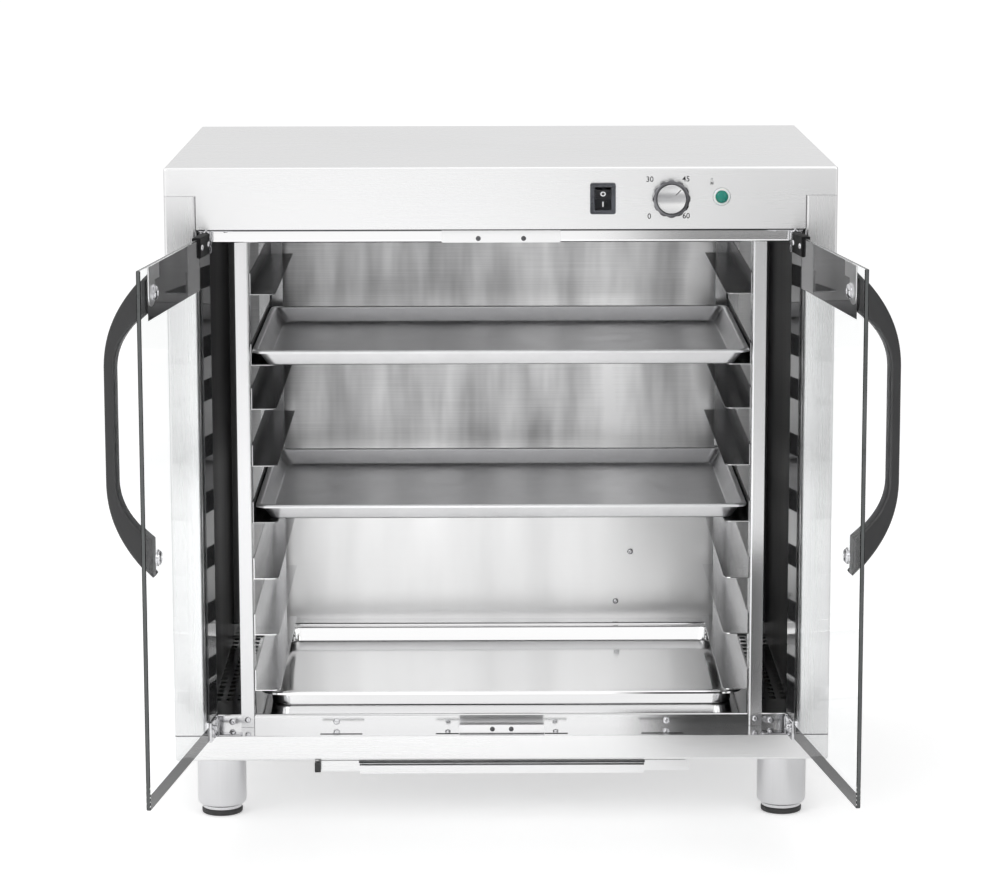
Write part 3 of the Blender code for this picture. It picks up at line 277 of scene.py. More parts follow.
# Chamber: liner, ceiling, floor and sill of 1 mm bright-annealed stainless sheet, folded
# and screwed between the side panels. The walls show soft upright smears and clouds, and
# the level sheets mirror what is above them more sharply.
chamber_wall = brushed_steel("bright_annealed_wall", "#FFFFFF", "#A8A8A9", 0.34, "X", 2.6,
                             "Z", 0.8, "#7E7E7E")
tree = chamber_wall.node_tree
spot = lay(tree, "SeparateXYZ", {0: lay(tree, "TexCoord").outputs["Object"]})
# Painted light: the back is brighter and plainer below 0.37 m, above the water pan.
painted_light_below = lay(tree, "MapRange", {"Value": spot.outputs["Z"], "From Min": 0.40,
                               "From Max": 0.34, "To Max": 0.9},
            interpolation_type="SMOOTHSTEP")
shade_in(chamber_wall, painted_light_below, "#FFFFFF")
# Painted shade: the side walls, behind the rails, are darker.
off_middle = lay(tree, "Math", {0: spot.outputs["X"]}, operation="ABSOLUTE")
side_wall_shade = lay(tree, "MapRange", {"Value": off_middle, "From Min": 0.335, "From Max": 0.357},
              interpolation_type="SMOOTHSTEP")
shade_in(chamber_wall, side_wall_shade, "#5C5C5D")

# A painted shadow darkens the header strip's top edge, where it meets the lintel.
chamber_level = brushed_steel("bright_annealed_level", "#F7F7F7", "#EEEEEF", 0.11, "X", 0.4)
tree = chamber_level.node_tree
spot = lay(tree, "SeparateXYZ", {0: lay(tree, "TexCoord").outputs["Object"]})
shade_in(chamber_level, lay(tree, "MapRange", {"Value": spot.outputs["Z"],
                                               "From Min": 0.7212, "From Max": 0.7224}),
         "#48484A")

# Painted shade darkens the sill over its drain slots, in bands a little wider than the slots.
SLOT_SETBACK, SLOT_HALF_WIDTH = 0.011, 0.0031
SLOT_SPANS = ((0.0665, 0.0142), (0.196, 0.0257))
sill_steel = brushed_steel("bright_annealed_sill", "#F2F2F2", "#EDEDEE", 0.13, "X", 0.3)
tree = sill_steel.node_tree
spot = lay(tree, "SeparateXYZ", {0: lay(tree, "TexCoord").outputs["Object"]})
off_middle = lay(tree, "Math", {0: spot.outputs["X"]}, operation="ABSOLUTE")
slot_shade = lay(tree, "Math", {0: spot.outputs["Y"], 1: face + SLOT_SETBACK,
                             2: SLOT_HALF_WIDTH}, operation="COMPARE")
inner, outer = [lay(tree, "Math", {0: off_middle, 1: middle, 2: half}, operation="COMPARE")
                for middle, half in SLOT_SPANS]
spans = lay(tree, "Math", {0: inner, 1: outer}, operation="MAXIMUM")
shade_in(sill_steel, lay(tree, "Math", {0: slot_shade, 1: spans}, operation="MULTIPLY"),
         "#2A2A2B")
for name, metal in (("liner", chamber_wall), ("ceiling_panel", chamber_level),
                    ("floor_panel", chamber_level), ("sill", sill_steel)):
    nodes[name].material_slots[0].material = metal

# Tray rack: two angle uprights in front, two cranked ones behind and sixteen angle rails,
# folded from bright stainless strip and fixed to the uprights. The lowest three pairs of
# rails are bright, and the five above have a darker copy of the strip, as painted shade.
BRIGHT_RAIL_TOP = 0.33
rack_upright = brushed_steel("bright_rack_strip", "#E6E6E7", "#D8D8D9", 0.22, "Z", 0.4)
rail_bright = brushed_steel("bright_rail_strip", "#FFFFFF", "#E4E4E5", 0.2, "Y", 0.9)
rail_shaded = brushed_steel("dulled_rail_strip", "#CACACB", "#98989A", 0.24, "Y", 0.9,
                          rim="#A4A4A4")
for name, node in nodes.items():
    if name.endswith("_upright"):
        node.material_slots[0].material = rack_upright
    elif "_rail_" in name:
        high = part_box(name)[1].z > BRIGHT_RAIL_TOP
        node.material_slots[0].material = rail_shaded if high else rail_bright

# Catches: the striker plate on the header strip and the stop folded up from the sill, on
# which the shut doors rest. Both are satin stainless, coarser and duller than the casing.
catch_steel = brushed_steel("satin_catch_strip", "#F2F2F2", "#ECECED", 0.40, "X", 0.3)
for name in ("top_catch", "bottom_catch"):
    nodes[name].material_slots[0].material = catch_steel


# Feet: four drawn stainless cups with a rounded lower edge, satin from the lathe. Each
# stands on a black rubber levelling pad, screwed up into it, with a steel collar between.
POLE = 0.000002  # a ring so small that it closes to a point when doubles are merged


def lathe(name, rings, sides=64):
    """A turned piece: a circle extruded and resized from ring to ring, as (radius, height)."""
    bpy.ops.object.select_all(action="DESELECT")
    radius, height = rings[0]
    bpy.ops.mesh.primitive_circle_add(vertices=sides, radius=radius, location=(0, 0, 0))
    piece = bpy.context.object
    piece.name = name
    bpy.ops.object.mode_set(mode="EDIT")
    bpy.ops.mesh.select_mode(type="EDGE")
    bpy.ops.mesh.select_all(action="SELECT")
    bpy.ops.transform.translate(value=(0, 0, height))
    for next_radius, next_height in rings[1:]:
        bpy.ops.mesh.extrude_edges_move(
            TRANSFORM_OT_translate={"value": (0, 0, next_height - height)})
        grow = next_radius / radius
        bpy.ops.transform.resize(value=(grow, grow, 1), center_override=(0, 0, next_height))
        radius, height = next_radius, next_height
    bpy.ops.mesh.select_all(action="SELECT")
    bpy.ops.mesh.remove_doubles(threshold=0.000005)
    bpy.ops.mesh.select_all(action="SELECT")
    bpy.ops.mesh.normals_make_consistent(inside=False)
    bpy.ops.object.mode_set(mode="OBJECT")
    return piece


def copied(piece, name):
    """A copy of a piece with a mesh of its own."""
    twin = piece.copy()
    twin.data = piece.data.copy()
    twin.name = name
    bpy.context.scene.collection.objects.link(twin)
    return twin


def fit(piece, finish, body, where=None, smooth=32):
    """Puts a piece's place into its mesh, gives it its finish, and lets it ride its body."""
    if where is not None:
        piece.matrix_world = where
    bpy.ops.object.select_all(action="DESELECT")
    bpy.context.view_layer.objects.active = piece
    piece.select_set(True)
    bpy.ops.object.transform_apply(location=True, rotation=True, scale=True)
    bpy.ops.object.shade_smooth_by_angle(angle=math.radians(smooth))
    piece.data.name = piece.name
    for stuff in (finish if isinstance(finish, tuple) else (finish,)):
        piece.data.materials.append(stuff)
    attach(piece, body)
    return piece


def moulded(name, light, dark, roughness, grain=900.0, bump=0.15, **sockets):
    """A moulded, cast or turned surface: fine grain and a slow change of tone."""
    stuff, tree, shader = blank(name)
    spot = lay(tree, "TexCoord").outputs["Object"]
    # The grain is 1 mm and the change of tone 45 mm wide at their scales of 900 and 22.
    spark = lay(tree, "TexNoise", {"Vector": spot, "Scale": grain, "Detail": 2.0})
    drift = lay(tree, "TexNoise", {"Vector": spot, "Scale": 22.0, "Detail": 4.0,
                                   "Roughness": 0.6})
    span = {"Value": drift, "From Min": 0.3, "From Max": 0.7}
    colour = lay(tree, "Mix", {0: lay(tree, "MapRange", span), 6: linear(dark),
                               7: linear(light)}, data_type="RGBA")
    gloss = lay(tree, "MapRange", {**span, "To Min": roughness * 0.85,
                                   "To Max": roughness * 1.2})
    rise = lay(tree, "Bump", {"Height": spark, "Strength": bump, "Distance": 0.0003})
    wire(shader, {"Base Color": colour.outputs[2], "Roughness": gloss, "Normal": rise})
    wire(shader, {socket.replace("_", " "): value for socket, value in sockets.items()})
    return stuff


foot_steel = brushed_steel("foot_turned_steel", "#E6E6E7", "#CFCFD1", 0.2, "Z", 0.3)
# Rubber is dark and matt, with a fine grain from its mould.
pad_rubber = moulded("foot_pad_rubber", "#3A3A3A", "#2A2A2A", 0.55)
CUP_RADIUS, CUP_INNER = 0.030, 0.0285
CUP_FOOT, CUP_TOP = 0.011, 0.0747
BEND_RADIUS = 0.006
BEND_MIDDLE = CUP_RADIUS - BEND_RADIUS
bend = [(BEND_MIDDLE + BEND_RADIUS * math.sin(step * math.pi / 16),
         0.0170 - BEND_RADIUS * math.cos(step * math.pi / 16)) for step in range(9)]
cup = lathe("cup", [(0.0053, CUP_FOOT), *bend, (CUP_RADIUS, CUP_TOP), (CUP_INNER, CUP_TOP),
                    (CUP_INNER, 0.0172), (BEND_MIDDLE, 0.0125), (0.0053, 0.0125),
                    (0.0053, CUP_FOOT)])
pad = lathe("pad", [(POLE, 0.0), (0.0236, 0.0), (0.0246, 0.0006), (0.025, 0.002),
                    (0.025, 0.0054), (0.0244, 0.0063), (0.0225, 0.0066), (0.005, 0.0066),
                    (0.005, 0.040), (POLE, 0.040)])
collar = lathe("collar", [(0.0052, 0.0067), (0.0232, 0.0067), (0.0240, 0.0072),
                          (0.0243, 0.0082), (0.0240, 0.0104), (0.0228, 0.0109),
                          (0.0052, 0.0109), (0.0052, 0.0067)])
for side in ("left", "right"):
    for row in ("front", "rear"):
        foot = f"{row}_{side}_foot"
        middle = sum(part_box(foot), Vector()) / 2
        stand = Matrix.Translation((middle.x, middle.y, 0))
        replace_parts(fit(copied(cup, foot + "_cup"), foot_steel,
                        "cabinet", stand), foot)
        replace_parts(fit(copied(pad, foot + "_rubber"), pad_rubber,
                        "cabinet", stand), foot + "_pad")
        fit(copied(collar, foot + "_collar"), foot_steel, "cabinet", stand)
for pattern in (cup, pad, collar):
    bpy.data.objects.remove(pattern)

# Trays and water pan: pressed from 1.2 mm sheet, floor first, then the rounded wall, the
# level rim and its turned-down lip. The trays are aluminium and the pan is bright
# stainless. All three lie loose, on their ledges or on the chamber floor.
SHEET_GAUGE = 0.0012
PAN_DEPTH = 0.020


def pressed(name, size, corner, bend, rim):
    """A pan pressed from one sheet: its floor's corners are rounded, then its edge drawn up."""
    bpy.ops.object.select_all(action="DESELECT")
    reach = rim + SHEET_GAUGE + bend
    size_x, size_y = size.x - 2 * reach, size.y - 2 * reach
    bpy.ops.mesh.primitive_plane_add(size=1, location=(0, 0, 0))
    pan = bpy.context.object
    pan.name = name
    pan.scale = (size_x, size_y, 1)
    bpy.ops.object.transform_apply(location=False, rotation=False, scale=True)
    bpy.ops.object.mode_set(mode="EDIT")
    bpy.ops.mesh.select_mode(type="VERT")
    bpy.ops.mesh.select_all(action="SELECT")
    bpy.ops.mesh.bevel(offset=corner, segments=8, affect="VERTICES")
    bpy.ops.mesh.select_mode(type="EDGE")
    bpy.ops.mesh.select_all(action="SELECT")
    # How far each ring of the edge lies outside the floor, and how high above it.
    rings = [(0.0010, 0.0002), (0.0019, 0.0008), (0.0026, 0.0019),
             (bend - 0.0006, PAN_DEPTH - 0.0032), (bend - 0.0002, PAN_DEPTH - 0.0020),
             (bend + 0.0006, PAN_DEPTH - 0.0014), (bend + 0.0016, PAN_DEPTH - SHEET_GAUGE),
             (bend + rim - 0.0008, PAN_DEPTH - SHEET_GAUGE),
             (bend + rim, PAN_DEPTH - 0.0020), (bend + rim, PAN_DEPTH - 0.0037)]
    spread, height = 0, 0
    for grow, rise in rings:
        bpy.ops.mesh.extrude_edges_move(
            TRANSFORM_OT_translate={"value": (0, 0, rise - height)})
        bpy.ops.transform.resize(value=((size_x + 2 * grow) / (size_x + 2 * spread),
                                        (size_y + 2 * grow) / (size_y + 2 * spread), 1),
                                 center_override=(0, 0, rise))
        spread, height = grow, rise
    bpy.ops.mesh.select_all(action="SELECT")
    bpy.ops.mesh.normals_make_consistent(inside=False)
    bpy.ops.object.mode_set(mode="OBJECT")
    if max(pan.data.polygons, key=lambda part: part.area).normal.z > 0:
        pan.data.flip_normals()
    wall = pan.modifiers.new("gauge", "SOLIDIFY")
    wall.thickness = SHEET_GAUGE
    wall.offset = -1
    bpy.ops.object.modifier_apply(modifier="gauge")
    return pan


# Baking has dulled the trays' aluminium evenly. The pan still mirrors what is above it.
tray_sheet = moulded("baked_aluminium_sheet", "#EFEFF0", "#E3E3E4", 0.34, 1400.0, 0.01,
                     Metallic=1.0)
pan_sheet = brushed_steel("pan_stainless_sheet", "#FFFFFF", "#FBFBFB", 0.10, "X", 0.3)
tray_low, tray_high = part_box("upper_tray")
baking_tray = pressed("baking_tray", tray_high - tray_low, 0.012, 0.013, 0.005)
pan_low, pan_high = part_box("water_pan")
deep_pan = pressed("deep_pan", pan_high - pan_low, 0.024, 0.0045, 0.010)
for name, shape, finish, slot in (
        ("upper_tray", baking_tray, tray_sheet, "tray_aluminium"),
        ("lower_tray", baking_tray, tray_sheet, "tray_aluminium"),
        ("water_pan", deep_pan, pan_sheet, "bright_stainless")):
    middle = sum(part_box(name), Vector()) / 2
    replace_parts(fit(copied(shape, name + "_pressing"), finish, name,
                    Matrix.Translation((middle.x, middle.y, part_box(name)[0].z))), name)
for pattern in (baking_tray, deep_pan):
    bpy.data.objects.remove(pattern)


# Drip tray: a folded satin stainless trough that slides on the runners under the base pan.
# Its front plate and pull lip show below. A small black block at the lip's left end is
# painted shade, for the runner's dark open end.
def block(name, size, middle=(0, 0, 0), ease=0.0, steps=1):
    """A block of a size about its middle, with its edges eased by a bevel."""
    bpy.ops.object.select_all(action="DESELECT")
    bpy.ops.mesh.primitive_cube_add(size=1, location=middle)
    piece = bpy.context.object
    piece.name = name
    piece.scale = size
    bpy.ops.object.transform_apply(location=True, rotation=False, scale=True)
    if ease:
        bpy.ops.object.mode_set(mode="EDIT")
        bpy.ops.mesh.select_all(action="SELECT")
        bpy.ops.mesh.bevel(offset=ease, segments=steps)
        bpy.ops.object.mode_set(mode="OBJECT")
    return piece


nodes["drip_tray"].material_slots[0].material = satin_across
lip_end = (-0.2245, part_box("drip_tray")[0].y + 0.0042, 0.0682)
end_shade_block = block("drip_tray_end_shade_block", (0.0076, 0.0030, 0.0126), lip_end, 0.0008, 3)
fit(end_shade_block, pad_rubber, "drip_tray")

# Screws: pan heads with a driver recess that hold the sheets together. One with an 8 mm
# head is turned, and all others are its copies. Chrome plate is a sharp bright mirror, and
# the screws on the catches are blackened steel, darker and duller.
chrome = moulded("chrome_plate", "#DEDEE0", "#C8C8CB", 0.10, 600.0, 0.0, Metallic=1.0)
dark_steel = moulded("blackened_screw_steel", "#6A6A6C", "#4C4C4E", 0.3, 600.0, 0.0,
                     Metallic=1.0)
HEAD_RADIUS = 0.004
turned_screw = lathe("turned_screw", [
    (POLE, 0.0), (HEAD_RADIUS, 0.0), (HEAD_RADIUS, 0.00088), (0.00372, 0.00168),
    (0.00288, 0.0024), (0.00168, 0.00272), (0.0012, 0.00264), (0.00096, 0.0010),
    (POLE, 0.00088)], sides=20)


def pan_screw(name, head, place, facing, finish=chrome, body="cabinet", rise=1.0):
    """A screw of a head radius, seated on a place and facing along a direction."""
    turn = Vector(facing).to_track_quat("Z", "Y").to_matrix().to_4x4()
    size = head / HEAD_RADIUS
    seat = Matrix.Translation(place) @ turn @ Matrix.Diagonal((size, size, size * rise, 1))
    return fit(copied(turned_screw, name), finish, body, seat,
               smooth=40)


SIDES = ((-1, "left"), (1, "right"))
FRONTWARD, REARWARD, UPWARD = (0, -1, 0), (0, 1, 0), (0, 0, 1)
SILL_TOP = 0.1061
riser = face + 0.046
# The shut doors lie 1.8 mm before the two catches, so the screws there have flat heads.
catch_front = face + 0.0088
FLAT_HEAD = 0.4
for side, name in SIDES:
    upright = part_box(f"{name}_front_upright")[0].y
    for use, head, across, depth, height, facing, finish, rise in (
            ("upright_screw", 0.0038, 0.312, upright, 0.1155, FRONTWARD, chrome, 1),
            ("riser_bolt", 0.0042, 0.203, riser, 0.1130, FRONTWARD, chrome, 1),
            ("riser_nut", 0.0042, 0.331, riser, 0.1130, FRONTWARD, chrome, 1),
            ("sill_screw", 0.0034, 0.066, face + 0.022, SILL_TOP, UPWARD, chrome, 1),
            ("top_catch_screw", 0.0030, 0.027, catch_front, 0.7140, FRONTWARD, dark_steel,
             FLAT_HEAD),
            ("stop_screw", 0.0030, 0.0115, catch_front, 0.1122, FRONTWARD, dark_steel,
             FLAT_HEAD)):
        pan_screw(f"{name}_{use}", head, (side * across, depth, height), facing, finish,
                  rise=rise)
for name, across, height in (("upper", 0.1766, 0.231), ("lower", 0.157, 0.1625)):
    pan_screw(f"{name}_back_screw", 0.0040, (across, face + 0.500, height), FRONTWARD)
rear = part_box("rear_panel")[1].y
for across in (-0.385, -0.13, 0.13, 0.385):
    for row, height in (("top", 0.752), ("middle", 0.43), ("low", 0.118)):
        if row != "middle" or abs(across) > 0.2:
            pan_screw(f"rear_{row}_screw_{int(across * 1000) + 500}", 0.0042,
                      (across, rear, height), REARWARD)


# Switch: a blue-grey moulded nylon frame snapped into the fascia, a black nylon rocker
# with printed O and I in its well, and a clear soft cover that keeps splashes off it.
def drawn_mesh(sliver=None):
    """The selected curve or text as a mesh: seams welded, slivers out, faces outwards."""
    bpy.ops.object.convert(target="MESH")
    piece = bpy.context.object
    bpy.ops.object.mode_set(mode="EDIT")
    bpy.ops.mesh.select_all(action="SELECT")
    bpy.ops.mesh.remove_doubles(threshold=0.000005)
    if sliver:
        bpy.ops.mesh.dissolve_degenerate(threshold=sliver)
        bpy.ops.mesh.select_all(action="SELECT")
    bpy.ops.mesh.normals_make_consistent(inside=False)
    bpy.ops.object.mode_set(mode="OBJECT")
    return piece


def flat_cut(name, outline, thickness, edge=0.0, steps=2):
    """A flat piece cut to an outline, drawn as a filled curve with its edges eased."""
    bpy.ops.object.select_all(action="DESELECT")
    drawing = bpy.data.curves.new(name, "CURVE")
    drawing.dimensions = "2D"
    drawing.fill_mode = "BOTH"
    drawing.extrude = thickness / 2 - edge
    drawing.bevel_depth = edge
    drawing.bevel_resolution = steps
    drawing.offset = -edge
    for loop in (outline if isinstance(outline[0], list) else [outline]):
        spline = drawing.splines.new("POLY")
        spline.points.add(len(loop) - 1)
        for knot, point in zip(spline.points, loop):
            knot.co = (point[0], point[1], 0, 1)
        spline.use_cyclic_u = True
    piece = bpy.data.objects.new(name, drawing)
    bpy.context.scene.collection.objects.link(piece)
    bpy.context.view_layer.objects.active = piece
    piece.select_set(True)
    return drawn_mesh()


def round_corners(width, height, radius, steps=6):
    """The outline of a rectangle with rounded corners, about its middle."""
    outline = []
    for turn, (sign_x, sign_y) in enumerate(((1, 1), (-1, 1), (-1, -1), (1, -1))):
        for step in range(steps + 1):
            angle = math.pi / 2 * (turn + step / steps)
            outline.append((sign_x * (width / 2 - radius) + radius * math.cos(angle),
                            sign_y * (height / 2 - radius) + radius * math.sin(angle)))
    return outline


# Flat pieces are drawn level and FACING turns them upright, to face the front.
FACING = Matrix.Rotation(math.pi / 2, 4, "X")
CONTROL_Z = 0.7625
SWITCH_X = 0.121
control_front = face - 0.0018
# Moulded nylon: a fine grain and a sheen, fainter on the rocker. The marks' ink is matt.
switch_grey = moulded("switch_frame_nylon", "#4B4E55", "#3D4047", 0.28, 1500.0, 0.06,
                      Coat_Weight=0.4)
rocker_black = moulded("switch_rocker_nylon", "#141518", "#0E0F11", 0.2, 1500.0, 0.04,
                       Specular_IOR_Level=0.2)
mark_white = moulded("switch_mark_ink", "#F4F4F4", "#E2E2E2", 0.5)
rim = round_corners(0.0303, 0.0370, 0.0025)
well = round_corners(0.0206, 0.0280, 0.0012)
bezel = flat_cut("switch_bezel", [rim, well[::-1]], 0.003, edge=0.0008, steps=3)
fit(bezel, switch_grey, "cabinet",
    Matrix.Translation((SWITCH_X, control_front, CONTROL_Z)) @ FACING)
nodes["switch_housing"].material_slots[0].material = switch_grey
nodes["rocker"].material_slots[0].material = rocker_black

# The cover is a block without its back, its front edges rounded, made a thin skin.
COVER_HEIGHT = 0.0064
cover = block("switch_splash_cover", (0.0245, 0.0315, COVER_HEIGHT), (0, 0, COVER_HEIGHT / 2))
bpy.ops.object.mode_set(mode="EDIT")
bpy.ops.mesh.select_all(action="DESELECT")
bpy.ops.object.mode_set(mode="OBJECT")
for part in cover.data.polygons:
    part.select = part.normal.z < -0.5
bpy.ops.object.mode_set(mode="EDIT")
bpy.ops.mesh.delete(type="ONLY_FACE")
bpy.ops.mesh.select_all(action="DESELECT")
bpy.ops.object.mode_set(mode="OBJECT")
for edge in cover.data.edges:
    ends = [cover.data.vertices[corner].co.z for corner in edge.vertices]
    edge.select = max(ends) > COVER_HEIGHT / 2
bpy.ops.object.mode_set(mode="EDIT")
bpy.ops.mesh.select_mode(type="EDGE")
bpy.ops.mesh.bevel(offset=0.0026, segments=4)
bpy.ops.object.mode_set(mode="OBJECT")
skin = cover.modifiers.new("skin", "SOLIDIFY")
skin.thickness = 0.0006
bpy.ops.object.modifier_apply(modifier="skin")
# Soft PVC film: clear, milky in places, and too thin to bend what lies behind it.
clear_pvc, tree, shader = blank("clear_soft_pvc")
haze = lay(tree, "TexNoise", {"Vector": lay(tree, "TexCoord").outputs["Object"],
                              "Scale": 120.0, "Detail": 3.0})
milk = lay(tree, "MapRange", {"Value": haze, "To Min": 0.0, "To Max": 0.03})
wire(shader, {"Roughness": milk, "Base Color": linear("#FBFBFC"),
              "Transmission Weight": 1.0, "IOR": 1.03})
fit(cover, clear_pvc, "cabinet",
    Matrix.Translation((SWITCH_X, face - 0.0034, CONTROL_Z)) @ FACING, smooth=60)


def printed(name, words, size, weight, place, ink, body="cabinet", turn=FACING):
    """Generic marks as a very thin raised print, centred on a place."""
    bpy.ops.object.select_all(action="DESELECT")
    bpy.ops.object.text_add()
    mark = bpy.context.object
    mark.name = name
    mark.data.body = words
    mark.data.size = size
    mark.data.align_x = "CENTER"
    mark.data.align_y = "CENTER"
    mark.data.extrude = 0.00004
    mark.data.offset = weight
    return fit(drawn_mesh(sliver=0.000001), ink, body,
               Matrix.Translation(place) @ turn)


# The rocker rests with its lower end pressed in, so it leans by 6 degrees. From its waist
# each half of its front comes forward by 3 mm to the end.
ROCKER_LEAN = math.radians(6)
WAIST_PROUD, FLARE, HALF_LENGTH = 0.0055, 0.003, 0.0125
MARK_PROUD = 0.0001
waist = Vector((SWITCH_X, face + 0.003, CONTROL_Z))
for name, words, half, rise in (("mark_off", "O", -1, 0.0062), ("mark_on", "I", 1, -0.0062)):
    out = WAIST_PROUD + FLARE * abs(rise) / HALF_LENGTH + MARK_PROUD
    facet = Matrix.Rotation(ROCKER_LEAN, 4, "X") @ Vector((0, -out, rise))
    tilt = ROCKER_LEAN - half * math.atan2(FLARE, HALF_LENGTH)
    printed("switch_" + name, words, 0.0080, 0.00025, waist + facet, mark_white,
            "switch_rocker", Matrix.Rotation(math.pi / 2 + tilt, 4, "X"))

# Thermostat dial: a fluted skirt of dark chrome-plated ABS and a spun aluminium face with
# an engraved pointer, pushed on the shaft. Its numbers are printed on the fascia, with a
# small thermometer beside the pilot light.
KNOB_X = 0.202
FLUTES, FLUTE_RADIUS, FLUTE_REACH = 12, 0.0075, 0.0287
POINTER_ANGLE = math.radians(45)
# Plating on ABS is a sharp dark mirror, whose tone drifts a little.
dark_chrome = moulded("dark_chrome_plated_abs", "#808083", "#4C4C4F", 0.09, 400.0, 0.02,
                      Metallic=1.0)
skirt = lathe("knob_skirt", [
    (0.0172, 0.0), (0.0222, 0.0), (0.0225, 0.0006), (0.0225, 0.0074), (0.0219, 0.0088),
    (0.0205, 0.0098), (0.0186, 0.0102), (0.0178, 0.0100), (0.0174, 0.0094),
    (0.0172, 0.0086), (0.0172, 0.0)], sides=144)
for flute in range(FLUTES):
    angle = 2 * math.pi / FLUTES * (flute + 0.5)
    bpy.ops.mesh.primitive_cylinder_add(
        vertices=40, radius=FLUTE_RADIUS, depth=0.03,
        location=(FLUTE_REACH * math.cos(angle), FLUTE_REACH * math.sin(angle), 0.005))
    cutter = bpy.context.object
    bpy.context.view_layer.objects.active = skirt
    bite = skirt.modifiers.new("flute", "BOOLEAN")
    bite.object = cutter
    bite.solver = "EXACT"
    bpy.ops.object.modifier_apply(modifier="flute")
    bpy.data.objects.remove(cutter)
dial_place = Matrix.Translation((KNOB_X, control_front, CONTROL_Z)) @ FACING
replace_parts(fit(skirt, dark_chrome, "dial", dial_place, smooth=35), "knob")

# Spinning leaves fine rings, drawn 0.6 mm wide, as fine as can show. Painted bands of
# sheen, lighter and darker, run across the face from top to bottom.
spun, tree, shader = blank("spun_aluminium_face")
spot = lay(tree, "Mapping", {"Vector": lay(tree, "TexCoord").outputs["Object"],
                             "Location": (-KNOB_X, 0, -CONTROL_Z)})
flat = lay(tree, "VectorMath", {0: spot, 1: (1, 0, 1)}, operation="MULTIPLY")
off_centre = lay(tree, "VectorMath", {0: flat}, operation="LENGTH")
turns = lay(tree, "Math", {0: off_centre.outputs["Value"], 1: 1600.0}, operation="MULTIPLY")
groove = lay(tree, "TexNoise", {"W": turns, "Scale": 1.0, "Detail": 1.0},
             noise_dimensions="1D")
bands = lay(tree, "MapRange", {"Value": lay(tree, "SeparateXYZ", {0: spot}).outputs["Z"],
                               "From Min": -0.017, "From Max": 0.017})
painted_sheen = lay(tree, "ValToRGB", {0: bands})
painted_sheen.color_ramp.interpolation = "EASE"
for share, tone in ((0.0, "#D9D9DA"), (0.30, "#F0F0F0"), (0.47, "#C2C2C4"),
                    (0.62, "#B4B4B6"), (0.80, "#E6E6E7")):
    painted_sheen.color_ramp.elements.new(share).color = linear(tone)
painted_sheen.color_ramp.elements[-1].color = linear("#CFCFD1")
lines = lay(tree, "Bump", {"Height": groove, "Strength": 0.25, "Distance": 0.0002})
wire(shader, {"Base Color": painted_sheen, "Normal": lines, "Metallic": 1.0, "Roughness": 0.26})
disc = lathe("knob_face", [(POLE, 0.0098), (0.0170, 0.0098), (0.0171, 0.0118),
                           (0.0165, 0.0125), (0.0150, 0.01235), (POLE, 0.01235)], sides=96)
fit(disc, spun, "dial", dial_place)
# Enamel fills the engraving, smooth and black.
pointer_black = moulded("pointer_enamel", "#2C2C2C", "#1E1E1E", 0.4)
pointer = flat_cut("knob_pointer", round_corners(0.0084, 0.0009, 0.0003), 0.0003)
fit(pointer, pointer_black, "dial",
    dial_place @ Matrix.Rotation(POINTER_ANGLE, 4, "Z")
    @ Matrix.Translation((0.0115, 0, 0.0124)))

# Matt grey-black ink, with the slight change of tone of a screen print.
dial_ink = moulded("dial_print_ink", "#353537", "#2A2A2C", 0.6)
print_line = face - 0.00006
for words, across, up in (("30", -0.0254, 0.0224), ("45", 0.0176, 0.0227),
                          ("0", -0.0258, -0.0216), ("60", 0.0180, -0.0212)):
    printed("dial_number_" + words, words, 0.0090, 0.0001,
            (KNOB_X + across, print_line, CONTROL_Z + up), dial_ink)


def arc(radius, height, first, last, step):
    """The points of an arc about a height, from one angle in degrees to before another."""
    angles = [math.radians(angle) for angle in range(first, last, step)]
    return [(radius * math.cos(angle), height + radius * math.sin(angle)) for angle in angles]


STEM_TOP = 0.0048
outer, inner = [arc(stem, STEM_TOP, 0, 181, 20) + arc(bulb, 0.0, 120, 421, 15)
                for stem, bulb in ((0.0012, 0.0023), (0.0008, 0.0019))]
drop = arc(0.0012, 0.0, 0, 360, 30)
icon = flat_cut("warming_icon", [outer, inner[::-1], drop], 0.00008)
fit(icon, dial_ink, "cabinet",
    Matrix.Translation((0.2502, print_line, 0.7805)) @ FACING)

# Pilot light: a domed green acrylic lens in a white polycarbonate bezel, snapped through
# the fascia. A thin grey ring under the bezel's edge is painted shade, its dark outline.
PILOT_X, PILOT_Z = 0.262, CONTROL_Z + 0.0018
LENS_RADIUS, LENS_WALL, LENS_DOME = 0.0073, 0.0026, 0.0030
# Both plastics are glossy and let some light in. The grey ring of painted shade is matt.
bezel_white = moulded("pilot_bezel_polycarbonate", "#F4F6F5", "#DDE3E1", 0.18, 900.0, 0.05,
                      Coat_Weight=0.5, Subsurface_Weight=0.15, Subsurface_Scale=0.002)
outline_shade_grey = moulded("grey_outline_painted_shade", "#A4A6A8", "#8C8E90", 0.6)
green = moulded("green_pilot_acrylic", "#069180", "#00695B", 0.14, 420.0, 0.5,
                Subsurface_Weight=0.2, Subsurface_Scale=0.003)
pilot_place = Matrix.Translation((PILOT_X, face, PILOT_Z)) @ FACING
ring = lathe("pilot_bezel", [
    (0.0074, 0.0003), (0.0103, 0.0003), (0.0103, 0.0012), (0.0098, 0.0022),
    (0.0088, 0.0030), (0.0080, 0.0031), (0.0074, 0.0026), (0.0074, 0.0003)])
fit(ring, bezel_white, "cabinet", pilot_place)
outline_shade_ring = lathe("pilot_outline_shade", [(0.0090, 0.0001), (0.0107, 0.0001), (0.0107, 0.0005),
                                (0.0104, 0.0007), (0.0090, 0.0007), (0.0090, 0.0001)])
fit(outline_shade_ring, outline_shade_grey, "cabinet", pilot_place)
dome = [(LENS_RADIUS * math.cos(step * math.pi / 16),
         LENS_WALL + LENS_DOME * math.sin(step * math.pi / 16)) for step in range(1, 8)]
